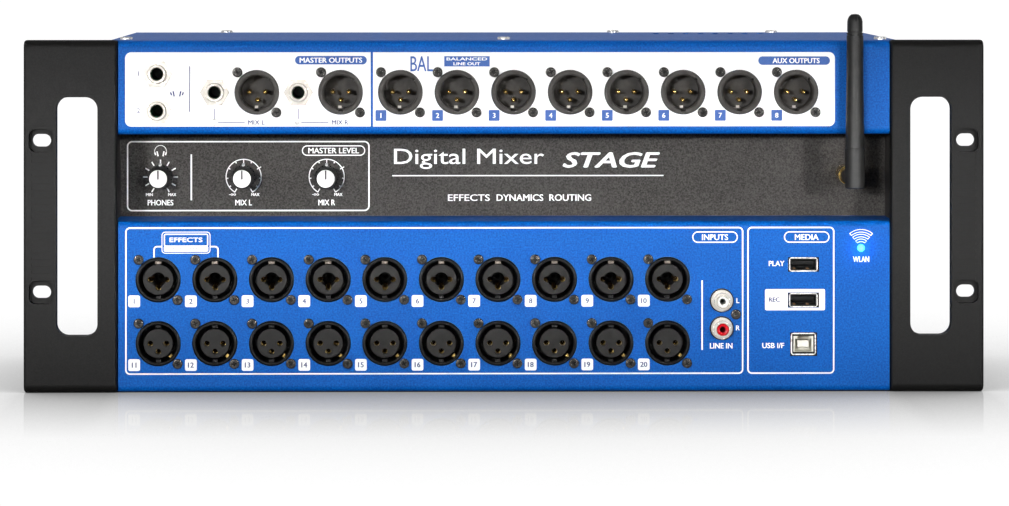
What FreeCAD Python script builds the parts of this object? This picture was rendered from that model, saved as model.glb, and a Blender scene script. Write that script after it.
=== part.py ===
import FreeCAD, Part
import math
import os

import Sketcher
from FreeCAD import Placement, Rotation, Vector

# A four-unit rack-mount digital mixer with a wireless antenna, in millimetres.
# Origin: midway between the four rack slots, on the plane where the ears meet the rack's rails.
# +X points right seen from the front, +Y to the rear, +Z up.

DRIVING_SIZES = {
    # rack ears
    "panel_width": 482.6,
    "panel_height": 177.0,
    "rack_slot_spacing_across": 465.1,
    "rack_slot_spacing_up": 76.2,
    "rack_slot_length": 9.4,
    "rack_slot_width": 6.4,
    "ear_inner_edge": 194.5,
    "ear_thickness": 8.0,
    "ear_crown_radius": 4.0,
    "ear_edge_radius": 1.4,
    "ear_flange_depth": 46.0,
    "ear_flange_thickness": 3.0,
    "ear_flange_height": 150.0,
    "handle_width": 20.7,
    "handle_height": 119.8,
    "handle_centre": 214.6,
    # sheet-metal case
    "case_half_width": 198.5,
    "case_top": 88.3,
    "case_bottom": -88.2,
    "case_rear": 184.0,
    "case_sheet": 1.2,
    "front_half_width": 194.0,
    "front_face": -6.0,
    "front_sheet": 1.5,
    "recess_top": 41.1,
    "recess_floor": -2.7,
    "recess_back": 36.0,
    "cover_front": 12.2,
    # sockets
    "socket_pitch": 28.45,
    "output_row": 62.25,
    "first_aux_output": -52.3,
    "left_master_output": -124.4,
    "right_master_output": -82.4,
    "combo_row": -31.9,
    "mic_row": -63.95,
    "first_input": -173.95,
    "socket_back": 20.0,
    "board_front": 24.0,
    "output_ring_radius": 11.2,
    "output_bore_radius": 8.45,
    "input_ring_radius": 11.3,
    "input_bore_radius": 9.6,
    "latch_travel": 1.6,
    "jack_bore_radius": 3.25,
    "jack_bush_radius": 4.75,
    "jack_nut_flats": 12.7,
    "mix_jack_offset": -21.2,
    "front_rivet_height": 47.2,
    "phones_jacks_across": -174.5,
    "phones_jacks_pitch": 18.5,
    "phono_across": 109.4,
    "phono_upper": -42.6,
    "phono_lower": -56.55,
    "phono_sleeve_radius": 4.15,
    "phono_core_radius": 3.1,
    "usb_across": 150.5,
    "usb_play_height": -24.5,
    "usb_record_height": -42.45,
    "usb_device_height": -64.5,
    "lamp_across": 179.6,
    "lamp_height": -16.3,
    # knobs and antenna
    "knob_height_on_panel": 17.45,
    "phones_knob_across": -175.55,
    "knob_pitch": 42.54,
    "knob_radius": 6.2,
    "knob_cap_radius": 4.6,
    "knob_front": 16.5,
    "pot_shaft_radius": 2.95,
    "antenna_across": 175.6,
    "antenna_up": 19.0,
    "antenna_hinge": -15.0,
    "antenna_barrel_radius": 5.0,
    "antenna_tip": 101.8,
    "running_clearance": 0.05,
}

document = FreeCAD.newDocument("rack_mixer")
sheet = document.addObject("Spreadsheet::Sheet", "sizes")
for row, (alias, value) in enumerate(DRIVING_SIZES.items(), start=1):
    sheet.set(f"A{row}", alias)
    sheet.set(f"B{row}", str(value))
    sheet.setAlias(f"B{row}", alias)
document.recompute()

nodes = {}


class Size:
    """A length in millimetres, kept with the spreadsheet expression that gives it."""

    def __init__(self, value, text):
        self.value = value
        self.text = text

    def __add__(self, other):
        other = as_size(other)
        return Size(self.value + other.value, f"({self.text} + {other.text})")

    def __radd__(self, other):
        return as_size(other) + self

    def __sub__(self, other):
        other = as_size(other)
        return Size(self.value - other.value, f"({self.text} - {other.text})")

    def __rsub__(self, other):
        return as_size(other) - self

    def __mul__(self, factor):
        return Size(self.value * factor, f"({self.text} * {float(factor):.6f})")

    def __neg__(self):
        return self * -1

    def __truediv__(self, divisor):
        return self * (1.0 / divisor)


def as_size(length):
    if isinstance(length, Size):
        return length
    if length < 0:
        return Size(float(length), f"(0 - {abs(float(length)):.6f})")
    return Size(float(length), f"{float(length):.6f}")


def named(alias):
    return Size(DRIVING_SIZES[alias], f"sizes.{alias}")


# ---------------------------------------------------------------- sizes that several pieces share
EAR_FRONT = -named("ear_thickness")
FRONT = named("front_face")
FRONT_BACK = FRONT + named("front_sheet")
CASE_HALF = named("case_half_width")
CASE_INNER = CASE_HALF - named("case_sheet")
CASE_TOP = named("case_top")
CASE_BOTTOM = named("case_bottom")
FLOOR_TOP = CASE_BOTTOM + named("case_sheet")
REAR = named("case_rear")
REAR_INNER = REAR - named("case_sheet")
COVER_UNDERSIDE = CASE_TOP - named("case_sheet")
PANEL_FRONT = named("recess_back")
PANEL_BACK = PANEL_FRONT + named("front_sheet")
BACK_WALL = PANEL_BACK + named("front_sheet")
SOCKET_BACK = named("socket_back")
BOARD_FRONT = named("board_front")
BOARD_THICKNESS = 1.6
CLEARANCE = named("running_clearance")

SOCKET_SCREW = (9.75, 10.1)
PIN_CIRCLE = 4.05
PIN_RADIUS = 1.2
CONTACT_HOLE = 1.45
CONTACT_RADIUS = 1.4
COMBO_BORE = 3.4
SCREW_SHANK_RADIUS = 1.4
SCREW_HEAD_RADIUS = 2.55
SCREW_HEAD_HEIGHT = 1.3
FACE_GAP = 0.1

OUTPUT_CENTRES = [
    (named("left_master_output"), named("output_row")),
    (named("right_master_output"), named("output_row")),
] + [(named("first_aux_output") + named("socket_pitch") * n, named("output_row")) for n in range(8)]
COMBO_CENTRES = [
    (named("first_input") + named("socket_pitch") * n, named("combo_row")) for n in range(10)
]
MIC_CENTRES = [(named("first_input") + named("socket_pitch") * n, named("mic_row")) for n in range(10)]
MIX_JACK_CENTRES = [
    (named("left_master_output") + named("mix_jack_offset"), named("output_row")),
    (named("right_master_output") + named("mix_jack_offset"), named("output_row")),
]
PHONES_JACK_CENTRES = [
    (named("phones_jacks_across"), named("output_row") + named("phones_jacks_pitch") / 2),
    (named("phones_jacks_across"), named("output_row") - named("phones_jacks_pitch") / 2),
]
FRONT_JACK_CENTRES = PHONES_JACK_CENTRES + MIX_JACK_CENTRES
FRONT_RIVETS = [(across, named("front_rivet_height")) for across, _ in MIX_JACK_CENTRES]
RIVET_SHANK_RADIUS = 1.0
PHONO_CENTRES = [
    (named("phono_across"), named("phono_upper")),
    (named("phono_across"), named("phono_lower")),
]
PHONO_SCREW = (named("phono_across") + 7.1, (named("phono_upper") + named("phono_lower")) / 2)
KNOB_CENTRES = [
    (named("phones_knob_across") + named("knob_pitch") * n, named("knob_height_on_panel"))
    for n in range(3)
]
ANTENNA_AXIS = (named("antenna_across"), named("antenna_up"))
REAR_JACK_CENTRE = (as_size(-100.0), as_size(-66.0))
NETWORK_CENTRE = (as_size(-62.0), as_size(-66.0))
INLET_CENTRE = (as_size(150.0), as_size(-60.0))
ROCKER_DEPTH = 183.0
ROCKER_TILT = 8.0
BOARD_POSTS = [(x, y) for x in (-178.0, -62.0, 52.0) for y in (62.0, 166.0)]
SUPPLY_POSTS = [(x, y) for x in (102.0, 180.0) for y in (62.0, 138.0)]
BOARD_HEIGHT = -79.0
COVER_SCREWS = [(x, 18.0) for x in (-191.7, 0.0, 191.7)] + [(x, 175.0) for x in (-148.6, 62.0, 148.6)]
EAR_SCREWS = [(y, z) for y in (14.0, 34.0) for z in (-60.0, 60.0)]


# ---------------------------------------------------------------- helpers
def keep(name, piece):
    """Names a finished object as one of the sub-parts to be written."""
    piece.Label = name
    nodes[name] = piece
    return piece


def bind(piece, path, length):
    piece.setExpression(path, as_size(length).text)


def box(name, across, depth, up):
    """A block from (low, high) pairs along X, Y and Z."""
    block = document.addObject("Part::Box", name)
    for side, axis, (low, high) in zip(("Length", "Width", "Height"), "xyz", (across, depth, up)):
        bind(block, side, as_size(high) - low)
        bind(block, f"Placement.Base.{axis}", low)
    return block


def fuse(name, pieces):
    joined = document.addObject("Part::MultiFuse", name)
    joined.Shapes = pieces
    joined.Refine = True
    return joined


def cut(name, base, tool):
    left = document.addObject("Part::Cut", name)
    left.Base = base
    left.Tool = tool
    left.Refine = True
    return left


def from_shape(name, shape):
    feature = document.addObject("Part::Feature", name)
    feature.Shape = shape
    return feature


def draw_outline(sketch, corners):
    """A closed outline whose every corner is tied to the sheet."""
    corners = [(as_size(across), as_size(up)) for across, up in corners]
    count = len(corners)
    for n in range(count):
        start, end = corners[n], corners[(n + 1) % count]
        line = Part.LineSegment(
            Vector(start[0].value, start[1].value, 0), Vector(end[0].value, end[1].value, 0)
        )
        sketch.addGeometry(line, False)
    for n in range(count):
        sketch.addConstraint(Sketcher.Constraint("Coincident", n, 2, (n + 1) % count, 1))
    for n, (across, up) in enumerate(corners):
        for kind, length, zero_axis in (("DistanceX", across, -2), ("DistanceY", up, -1)):
            if abs(length.value) < 1e-9:
                sketch.addConstraint(Sketcher.Constraint("PointOnObject", n, 1, zero_axis))
                continue
            place = sketch.addConstraint(Sketcher.Constraint(kind, -1, 1, n, 1, length.value))
            sketch.setExpression(f"Constraints[{place}]", length.text)


def sketched_body(name, plane, corners):
    body = document.addObject("PartDesign::Body", name)
    sketch = body.newObject("Sketcher::SketchObject", f"{name}_outline")
    origin_plane = [item for item in body.Origin.OriginFeatures if item.Role == plane][0]
    sketch.AttachmentSupport = [(origin_plane, "")]
    sketch.MapMode = "FlatFace"
    draw_outline(sketch, corners)
    return body, sketch


def turned(name, corners, plane="XY_Plane"):
    """A body turned about the sketch's upright axis: Y on XY_Plane, Z on XZ_Plane."""
    body, sketch = sketched_body(name, plane, corners)
    turn = body.newObject("PartDesign::Revolution", f"{name}_turn")
    turn.Profile = sketch
    turn.ReferenceAxis = (sketch, ["V_Axis"])
    turn.Angle = 360.0
    return body


def extruded(name, plane, corners, length):
    """A body padded evenly to both sides of its sketch plane."""
    body, sketch = sketched_body(name, plane, corners)
    pad = body.newObject("PartDesign::Pad", f"{name}_pad")
    pad.Profile = sketch
    pad.SideType = "Symmetric"
    bind(pad, "Length", length)
    return body, pad


def set_back(body, depth=None, across=None, up=None):
    for axis, length in (("x", across), ("y", depth), ("z", up)):
        if length is not None:
            bind(body, f"Placement.Base.{axis}", length)
    return body


def point(centre, depth=0.0):
    """A place on the front, from its (across, up) pair of sizes and a depth."""
    return Vector(as_size(centre[0]).value, as_size(depth).value, as_size(centre[1]).value)


def copies(prototype, centres):
    """One compound with the prototype's shape repeated at each (across, up) centre."""
    document.recompute()
    return Part.makeCompound([prototype.Shape.translated(point(centre)) for centre in centres])


def rod(radius, start, end, centre):
    """A cylinder along Y from depth start to depth end."""
    low, high = as_size(start).value, as_size(end).value
    return Part.makeCylinder(as_size(radius).value, high - low, point(centre, low), Vector(0, 1, 0))


def block(across, depth, up):
    lows = [as_size(pair[0]).value for pair in (across, depth, up)]
    highs = [as_size(pair[1]).value for pair in (across, depth, up)]
    return Part.makeBox(highs[0] - lows[0], highs[1] - lows[1], highs[2] - lows[2], Vector(*lows))


def along(shape, direction):
    """The edges of a shape that run straight along a direction."""
    found = []
    for edge in shape.Edges:
        if len(edge.Vertexes) == 2:
            run = edge.Vertexes[1].Point - edge.Vertexes[0].Point
            if run.Length > 0 and abs(run.normalize().dot(direction)) > 0.999:
                found.append(edge)
    return found


def rounded_block(centre, width, height, radius, start, end):
    """A block along Y with its four long edges rounded."""
    across, up = as_size(centre[0]).value, as_size(centre[1]).value
    half_width, half_height = as_size(width).value / 2, as_size(height).value / 2
    sides = (across - half_width, across + half_width)
    plain = block(sides, (start, end), (up - half_height, up + half_height))
    return plain.makeFillet(radius, along(plain, Vector(0, 1, 0)))


def screw(centre, head_face, length, direction, head_radius=SCREW_HEAD_RADIUS):
    """A pan-head screw with a cross recess; its head stands on head_face and its shank runs back."""
    head = Part.makeCylinder(head_radius, SCREW_HEAD_HEIGHT)
    head = head.makeFillet(0.6, [edge for edge in head.Edges if edge.BoundBox.ZMin > SCREW_HEAD_HEIGHT / 2])
    shank = Part.makeCylinder(SCREW_SHANK_RADIUS, length, Vector(0, 0, -length))
    arm, width, deep = 1.5, 0.5, 0.7
    recess = Part.makeBox(2 * arm, width, deep, Vector(-arm, -width / 2, SCREW_HEAD_HEIGHT - deep + 0.01))
    crossing = Part.makeBox(width, 2 * arm, deep, Vector(-width / 2, -arm, SCREW_HEAD_HEIGHT - deep + 0.01))
    whole = head.fuse(shank).removeSplitter().cut(recess.fuse(crossing))
    whole.rotate(Vector(0, 0, 0), Vector(0, 0, 1), 20.0)
    turned_to = Placement(Vector(*centre), Rotation(Vector(0, 0, 1), direction))
    whole.Placement = turned_to.multiply(whole.Placement)
    return whole.translated(direction * head_face)


def rivet(centre, head_face):
    """A dome-head rivet through the front sheet, headed behind it as well."""
    dome = rod(1.75, head_face - 1.0, head_face, centre)
    dome = dome.makeFillet(0.9, [edge for edge in dome.Edges if edge.BoundBox.YMax < head_face.value - 0.9])
    shank = rod(RIVET_SHANK_RADIUS, head_face, FRONT_BACK, centre)
    tail = rod(1.6, FRONT_BACK, FRONT_BACK + 0.8, centre)
    return dome.fuse([shank, tail]).removeSplitter()


def fillet_edges(body, base, name, radius, places):
    """Rounds the bends of a padded sheet at the given (depth, up) corners."""
    document.recompute()
    chosen = []
    for n, edge in enumerate(base.Shape.Edges, start=1):
        middle = edge.CenterOfMass
        straight = edge.BoundBox.XLength > 1.0
        if straight and any(math.hypot(middle.y - y, middle.z - z) < 0.01 for y, z in places):
            chosen.append(f"Edge{n}")
    fillet = body.newObject("PartDesign::Fillet", name)
    fillet.Base = (base, chosen)
    bind(fillet, "Radius", radius)
    return fillet


# ---------------------------------------------------------------- case
def front_openings():
    """Everything that is cut through the blue front sheet."""
    start, end = FRONT - 1, FRONT_BACK + 1
    holes = [rod(named("output_ring_radius") + FACE_GAP, start, end, c) for c in OUTPUT_CENTRES]
    holes += [rod(named("input_ring_radius") + FACE_GAP, start, end, c) for c in COMBO_CENTRES + MIC_CENTRES]
    holes += [rod(named("jack_bush_radius") + FACE_GAP, start, end, c) for c in FRONT_JACK_CENTRES]
    holes += [rod(6.1, start, end, c) for c in PHONO_CENTRES]
    screws = [PHONO_SCREW]
    for centre in OUTPUT_CENTRES + COMBO_CENTRES + MIC_CENTRES:
        screws += screw_places(centre)
    holes += [rod(SCREW_SHANK_RADIUS + 0.2, start, end, c) for c in screws]
    for height in (named("usb_play_height"), named("usb_record_height")):
        holes.append(rounded_block((named("usb_across"), height), 15.5, 7.4, 0.8, start, end))
    device = (named("usb_across"), named("usb_device_height"))
    holes.append(rounded_block(device, 12.9, 11.2, 0.8, start, end))
    holes += [rod(RIVET_SHANK_RADIUS + CLEARANCE, start, end, c) for c in FRONT_RIVETS]
    holes.append(rod(2.0, start, end, (named("lamp_across"), named("lamp_height"))))
    holes += [rod(3.6, PANEL_BACK - 1, BACK_WALL + 1, c) for c in KNOB_CENTRES]
    holes.append(rod(3.3, PANEL_BACK - 1, BACK_WALL + 1, ANTENNA_AXIS))
    for across, depth in COVER_SCREWS[:3]:
        holes.append(Part.makeCylinder(1.6, 6.0, Vector(across, depth, COVER_UNDERSIDE.value - 5.0)))
    return from_shape("front_openings", Part.makeCompound(holes))


def screw_places(centre):
    across, up = SOCKET_SCREW
    return [(centre[0] - across, centre[1] + up), (centre[0] + across, centre[1] - up)]


def front_panel():
    """One formed sheet: joggled top flange, upper face, recess, lower face and bottom flange."""
    sheet_metal = named("front_sheet")
    step = named("case_sheet") + FACE_GAP
    top, bottom = CASE_TOP, CASE_BOTTOM
    ceiling, floor = named("recess_top"), named("recess_floor")
    joggle = named("cover_front") - 0.3
    flange_end, lower_end = as_size(24.0), as_size(6.0)
    outside = [
        (flange_end, top - step), (joggle, top - step), (joggle, top), (FRONT, top), (FRONT, ceiling),
        (PANEL_BACK, ceiling), (PANEL_BACK, floor), (FRONT, floor), (FRONT, bottom), (lower_end, bottom),
    ]
    inside = [
        (lower_end, bottom + sheet_metal), (FRONT_BACK, bottom + sheet_metal),
        (FRONT_BACK, floor - sheet_metal), (BACK_WALL, floor - sheet_metal),
        (BACK_WALL, ceiling + sheet_metal), (FRONT_BACK, ceiling + sheet_metal),
        (FRONT_BACK, top - sheet_metal), (joggle - sheet_metal, top - sheet_metal),
        (joggle - sheet_metal, top - step - sheet_metal), (flange_end, top - step - sheet_metal),
    ]
    body, pad = extruded("front_sheet_metal", "YZ_Plane", outside + inside, named("front_half_width") * 2)
    bend = 3.0
    outer = [(FRONT, ceiling), (FRONT, floor), (FRONT, bottom)]
    inner_heights = (ceiling + sheet_metal, floor - sheet_metal, bottom + sheet_metal)
    inner = [(FRONT_BACK, height) for height in inner_heights]
    crown, crown_inner = [(FRONT, top)], [(FRONT_BACK, top - sheet_metal)]
    last = pad
    for name, radius, corners in (
        ("outer_bends", as_size(bend), outer), ("inner_bends", bend - sheet_metal, inner),
        ("top_bend", as_size(4.0), crown), ("top_bend_inside", 4.0 - sheet_metal, crown_inner),
    ):
        last = fillet_edges(body, last, name, radius, [(y.value, z.value) for y, z in corners])
    side = named("front_half_width")
    returns = []
    for sign in (-1, 1):
        near, far = sorted((sign * (side.value - sheet_metal.value), sign * side.value))
        for n, (low, high) in enumerate(((ceiling + 1.0, top - 4.0), (bottom + 3.0, floor - 1.0))):
            returns.append(box(f"side_return_{'left' if sign < 0 else 'right'}_{n}",
                               (near, far), (FRONT_BACK - 0.5, 20.0), (low, high)))
        returns += front_wings("left" if sign < 0 else "right", sign, joggle)
    formed = fuse("front_formed", [body] + returns)
    return keep("front_panel", cut("front_panel_cut", formed, front_openings()))


def mirrored_span(sign, inner, outer):
    """The X range of a piece on the left (-1) or right (+1) side."""
    return (inner, outer) if sign > 0 else (-outer, -inner)


def front_wings(side, sign, joggle):
    """Behind the ears the recess and the top flange reach out to the tray's sides."""
    sheet_metal = named("front_sheet")
    ceiling, floor = named("recess_top"), named("recess_floor")
    root = named("front_half_width") - 0.5
    recess_end, top_end = CASE_INNER - FACE_GAP, CASE_HALF
    recess_depth = (2.2, BACK_WALL)
    recess_span = mirrored_span(sign, root, recess_end)
    top_heights = (COVER_UNDERSIDE, CASE_TOP)
    return [
        box(f"{side}_floor_wing", recess_span, recess_depth, (floor - sheet_metal, floor)),
        box(f"{side}_ceiling_wing", recess_span, recess_depth, (ceiling, ceiling + sheet_metal)),
        box(f"{side}_back_wing", recess_span, (PANEL_BACK, BACK_WALL), (floor, ceiling)),
        box(f"{side}_top_wing", mirrored_span(sign, root, top_end), (0.2, joggle), top_heights),
    ]


def chassis_openings():
    """Side vents, rear sockets and screw holes of the tray."""
    holes = []
    for sign in (-1, 1):
        side = sign * (CASE_HALF.value - 0.5)
        for n in range(12):
            middle = 76.0 + 7.0 * n
            holes.append(Part.makeBox(6.0, 3.0, 70.0, Vector(side - 3.0, middle, -35.0)))
        for depth, up in EAR_SCREWS:
            holes.append(Part.makeCylinder(1.6, 14.0, Vector(side - 7.0, depth, up), Vector(1, 0, 0)))
    for n in range(14):
        holes.append(Part.makeBox(3.0, 4.0, 44.0, Vector(-120.0 + 8.0 * n, REAR.value - 3.0, 8.0)))
    start, end = REAR_INNER - 1, REAR + 1
    holes.append(rod(named("jack_bush_radius") + FACE_GAP, start, end, REAR_JACK_CENTRE))
    holes.append(rounded_block(NETWORK_CENTRE, 16.6, 14.2, 0.6, start, end))
    holes.append(rounded_block(INLET_CENTRE, 47.4, 27.4, 1.0, start, end))
    for across, depth in COVER_SCREWS[3:]:
        holes.append(Part.makeCylinder(1.6, 5.0, Vector(across, depth, COVER_UNDERSIDE.value - 4.0)))
    return from_shape("chassis_openings", Part.makeCompound(holes))


def chassis_tray():
    """Bottom, two sides with a hem at the front, rear and the top flanges the cover sits on."""
    sheet_metal = named("case_sheet")
    flange_top = COVER_UNDERSIDE - FACE_GAP / 2
    flange_heights = (flange_top - sheet_metal, flange_top)
    side_start = as_size(0.6)
    walls = [
        box("tray_floor", (-CASE_HALF, CASE_HALF), (6.2, REAR), (CASE_BOTTOM, FLOOR_TOP)),
        box("tray_rear", (-CASE_HALF, CASE_HALF), (REAR_INNER, REAR), (CASE_BOTTOM, flange_top)),
        box("tray_rear_flange", (-CASE_HALF, CASE_HALF), (REAR - 18.0, REAR), flange_heights),
    ]
    hem_inner = named("front_half_width") + FACE_GAP / 2
    for side, sign in (("left", -1), ("right", 1)):
        walls.append(box(f"tray_{side}", mirrored_span(sign, CASE_INNER, CASE_HALF), (side_start, REAR),
                         (CASE_BOTTOM, flange_top)))
        walls.append(box(f"tray_{side}_corner", mirrored_span(sign, hem_inner, CASE_HALF), (side_start, 6.4),
                         (CASE_BOTTOM, FLOOR_TOP)))
        hem_heights = ((named("recess_top") + 3.0, flange_top - 4.0), (CASE_BOTTOM, named("recess_floor") - 3.0))
        for n, hem_height in enumerate(hem_heights):
            walls.append(box(f"tray_{side}_web_{n}", mirrored_span(sign, hem_inner, CASE_HALF),
                             (side_start, side_start + sheet_metal), hem_height))
            walls.append(box(f"tray_{side}_hem_{n}", mirrored_span(sign, hem_inner, hem_inner + sheet_metal),
                             (side_start, 20.0), hem_height))
        walls.append(box(f"tray_{side}_flange", mirrored_span(sign, CASE_HALF - 12.0, CASE_HALF), (26.0, REAR),
                         (flange_top - sheet_metal, flange_top)))
    tray = fuse("tray_walls", walls)
    return keep("chassis_tray", cut("chassis_tray_cut", tray, chassis_openings()))


def top_cover():
    """Flat lid with one row of vent slots near the rear right corner."""
    lid = box("lid", (-CASE_HALF, CASE_HALF), (named("cover_front"), REAR), (COVER_UNDERSIDE, CASE_TOP))
    holes = []
    for n in range(8):
        holes.append(Part.makeBox(3.2, 20.0, 4.0, Vector(83.0 + 8.0 * n, 140.0, COVER_UNDERSIDE.value - 1.0)))
    for across, depth in COVER_SCREWS:
        holes.append(Part.makeCylinder(1.6, 4.0, Vector(across, depth, COVER_UNDERSIDE.value - 1.0)))
    return keep("top_cover", cut("top_cover_cut", lid, from_shape("lid_openings", Part.makeCompound(holes))))


def control_panel():
    """Dark fascia at the back of the recess, with a cheek folded forward at each end."""
    half = CASE_INNER - FACE_GAP
    height = (named("recess_floor") + FACE_GAP / 2, named("recess_top") - FACE_GAP / 2)
    sheets = [box("fascia", (-half, half), (PANEL_FRONT, PANEL_BACK), height)]
    for side, sign in (("left", -1), ("right", 1)):
        across = mirrored_span(sign, half - named("case_sheet"), half)
        sheets.append(box(f"{side}_cheek", across, (2.2, PANEL_BACK), height))
    plate = fuse("fascia_and_cheeks", sheets)
    holes = [rod(3.6, PANEL_FRONT - 1, PANEL_BACK + 1, c) for c in KNOB_CENTRES]
    holes.append(rod(3.3, PANEL_FRONT - 1, PANEL_BACK + 1, ANTENNA_AXIS))
    openings = from_shape("fascia_openings", Part.makeCompound(holes))
    return keep("control_panel", cut("control_panel_cut", plate, openings))


def ear_openings():
    """Handle slot, two recessed rack slots, grip ribs and flange holes of the left ear."""
    thickness = named("ear_thickness")
    handle = (-named("handle_centre"), as_size(0.0))
    width, height = named("handle_width"), named("handle_height")
    holes = [rounded_block(handle, width, height, 6.0, -thickness - 1, 1.0)]
    for sign in (-1, 1):
        centre = (named("rack_slot_spacing_across") / -2, named("rack_slot_spacing_up") * (0.5 * sign))
        width, length = named("rack_slot_width").value, named("rack_slot_length").value
        holes.append(rounded_block(centre, length, width, width / 2 - 0.001, -thickness - 1, 1.0))
        holes.append(rounded_block(centre, 12.2, 11.6, 3.5, -thickness - 1, -3.6))
    rib_count, rib_pitch, rib_groove, rib_depth = 19, 3.48, 1.5, 0.55
    for n in range(rib_count):
        up = (n - (rib_count - 1) / 2) * rib_pitch
        groove_height = (up - rib_groove / 2, up + rib_groove / 2)
        holes.append(block((-237.3, -227.5), (EAR_FRONT - 1, EAR_FRONT + rib_depth), groove_height))
    for depth, up in EAR_SCREWS:
        holes.append(Part.makeCylinder(1.6, 8.0, Vector(-CASE_HALF.value - 6.0, depth, up), Vector(1, 0, 0)))
    return from_shape("ear_openings", Part.makeCompound(holes))


def rack_ears():
    """Thick cast ear with a side flange; the right ear mirrors the left."""
    half_height = named("panel_height") / 2
    inner, outer = named("ear_inner_edge"), named("panel_width") / 2
    body, pad = extruded("ear_plate", "XZ_Plane", [
        (-outer, -half_height), (-inner, -half_height), (-inner, half_height), (-outer, half_height),
    ], named("ear_thickness"))
    set_back(body, depth=EAR_FRONT / 2)
    document.recompute()
    across_edges = [
        f"Edge{n}" for n, edge in enumerate(pad.Shape.Edges, start=1)
        if edge.BoundBox.XLength > 1.0 and edge.CenterOfMass.y < pad.Shape.BoundBox.YMin + 0.01
    ]
    crown = body.newObject("PartDesign::Fillet", "ear_crown")
    crown.Base = (pad, across_edges)
    bind(crown, "Radius", named("ear_crown_radius"))
    document.recompute()
    side_edges = [
        f"Edge{n}" for n, edge in enumerate(crown.Shape.Edges, start=1)
        if edge.BoundBox.ZLength > 100.0 and edge.CenterOfMass.y < crown.Shape.BoundBox.YMin + 0.01
    ]
    soften = body.newObject("PartDesign::Fillet", "ear_soft_edges")
    soften.Base = (crown, side_edges)
    bind(soften, "Radius", named("ear_edge_radius"))
    start = CASE_HALF + FACE_GAP
    flange_half = named("ear_flange_height") / 2
    flange_across = (-start - named("ear_flange_thickness"), -start)
    flange = box("ear_flange", flange_across, (-1.0, named("ear_flange_depth")), (-flange_half, flange_half))
    solid = fuse("left_ear_solid", [body, flange])
    left = cut("left_rack_ear_cut", solid, ear_openings())
    right = document.addObject("Part::Mirroring", "right_rack_ear_mirror")
    right.Source = left
    right.Normal = (1, 0, 0)
    keep("left_rack_ear", left)
    keep("right_rack_ear", right)


def case_screws():
    """Cover screws from above, ear screws from the sides and two rivets in the front sheet."""
    shapes = [rivet(centre, FRONT) for centre in FRONT_RIVETS]
    for across, depth in COVER_SCREWS:
        shapes.append(screw((across, depth, 0.0), CASE_TOP.value, 5.0, Vector(0, 0, 1), 3.2))
    for sign in (-1, 1):
        for depth, up in EAR_SCREWS:
            face = CASE_HALF.value + FACE_GAP + named("ear_flange_thickness").value
            shapes.append(screw((0.0, depth, up), face, 7.0, Vector(sign, 0, 0), 3.2))
    return keep("case_screws", from_shape("case_screw_set", Part.makeCompound(shapes)))


def connector_screws():
    places = [PHONO_SCREW]
    for centre in OUTPUT_CENTRES + COMBO_CENTRES + MIC_CENTRES:
        places += screw_places(centre)
    model = screw((0.0, 0.0, 0.0), -FRONT.value, 6.0, Vector(0, -1, 0))
    shapes = [model.translated(point(place)) for place in places]
    return keep("connector_screws", from_shape("connector_screw_set", Part.makeCompound(shapes)))


# ---------------------------------------------------------------- sockets
def socket_flange(shell):
    """The plate behind the front sheet that takes a socket's two screws."""
    half_width, half_height = 13.0, 15.3
    plate = block((-half_width, half_width), (FRONT_BACK, FRONT_BACK + 2.0), (-half_height, half_height))
    across, up = SOCKET_SCREW
    zero = (0.0, 0.0)
    holes = [rod(SCREW_SHANK_RADIUS + CLEARANCE, -8.0, 8.0, c) for c in ((-across, up), (across, -up))]
    plate = plate.cut(Part.makeCompound(holes)).cut(rod(shell - 0.5, -8.0, 8.0, zero))
    return plate


def pin_places(radius):
    return [(-radius, 0.0), (radius, 0.0), (0.0, -radius)]


def output_sockets():
    """Male three-pin shells: a ring with a deep bore, a key slot and a floor for the pins."""
    ring, bore = named("output_ring_radius"), named("output_bore_radius")
    face, floor = FRONT - 0.8, as_size(9.0)
    body = turned("output_shell", [
        (0.0, SOCKET_BACK), (0.0, floor), (bore, floor), (bore, face + 0.8), (bore + 0.8, face),
        (ring - 0.5, face), (ring, face + 0.5), (ring, SOCKET_BACK),
    ])
    document.recompute()
    shell = body.Shape.fuse(socket_flange(ring)).removeSplitter()
    slot = block((-1.3, 1.3), (face - 1, 4.0), (-9.7, -8.0))
    notch = rod(0.9, face - 1, 2.0, (6.4, 6.4))
    holes = [rod(PIN_RADIUS + 0.05, 0.0, 30.0, place) for place in pin_places(PIN_CIRCLE)]
    shell = shell.cut(Part.makeCompound([slot, notch] + holes))
    prototype = from_shape("output_shell_model", shell)
    return keep("output_sockets", from_shape("output_socket_set", copies(prototype, OUTPUT_CENTRES)))


def input_sockets():
    """Round input shells with an annular gap for a plug's sleeve."""
    ring, bore = named("input_ring_radius"), named("input_bore_radius")
    face, floor = FRONT - 0.6, SOCKET_BACK - 2.0
    body = turned("input_shell", [
        (3.25, SOCKET_BACK), (3.25, floor), (bore, floor), (bore, face + 0.4), (bore + 0.4, face),
        (ring - 0.9, face), (ring - 0.3, face + 0.25), (ring, face + 0.6), (ring, SOCKET_BACK),
    ])
    document.recompute()
    shell = body.Shape.fuse(socket_flange(ring)).removeSplitter()
    key = block((-1.2, 1.2), (-3.0, floor), (-bore - 0.5, -8.3))
    holes = [rod(CONTACT_HOLE, 0.0, 30.0, place) for place in pin_places(PIN_CIRCLE)]
    shell = shell.fuse(key).removeSplitter().cut(Part.makeCompound(holes))
    prototype = from_shape("input_shell_model", shell)
    shells = copies(prototype, COMBO_CENTRES + MIC_CENTRES)
    return keep("input_sockets", from_shape("input_socket_set", shells))


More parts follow.
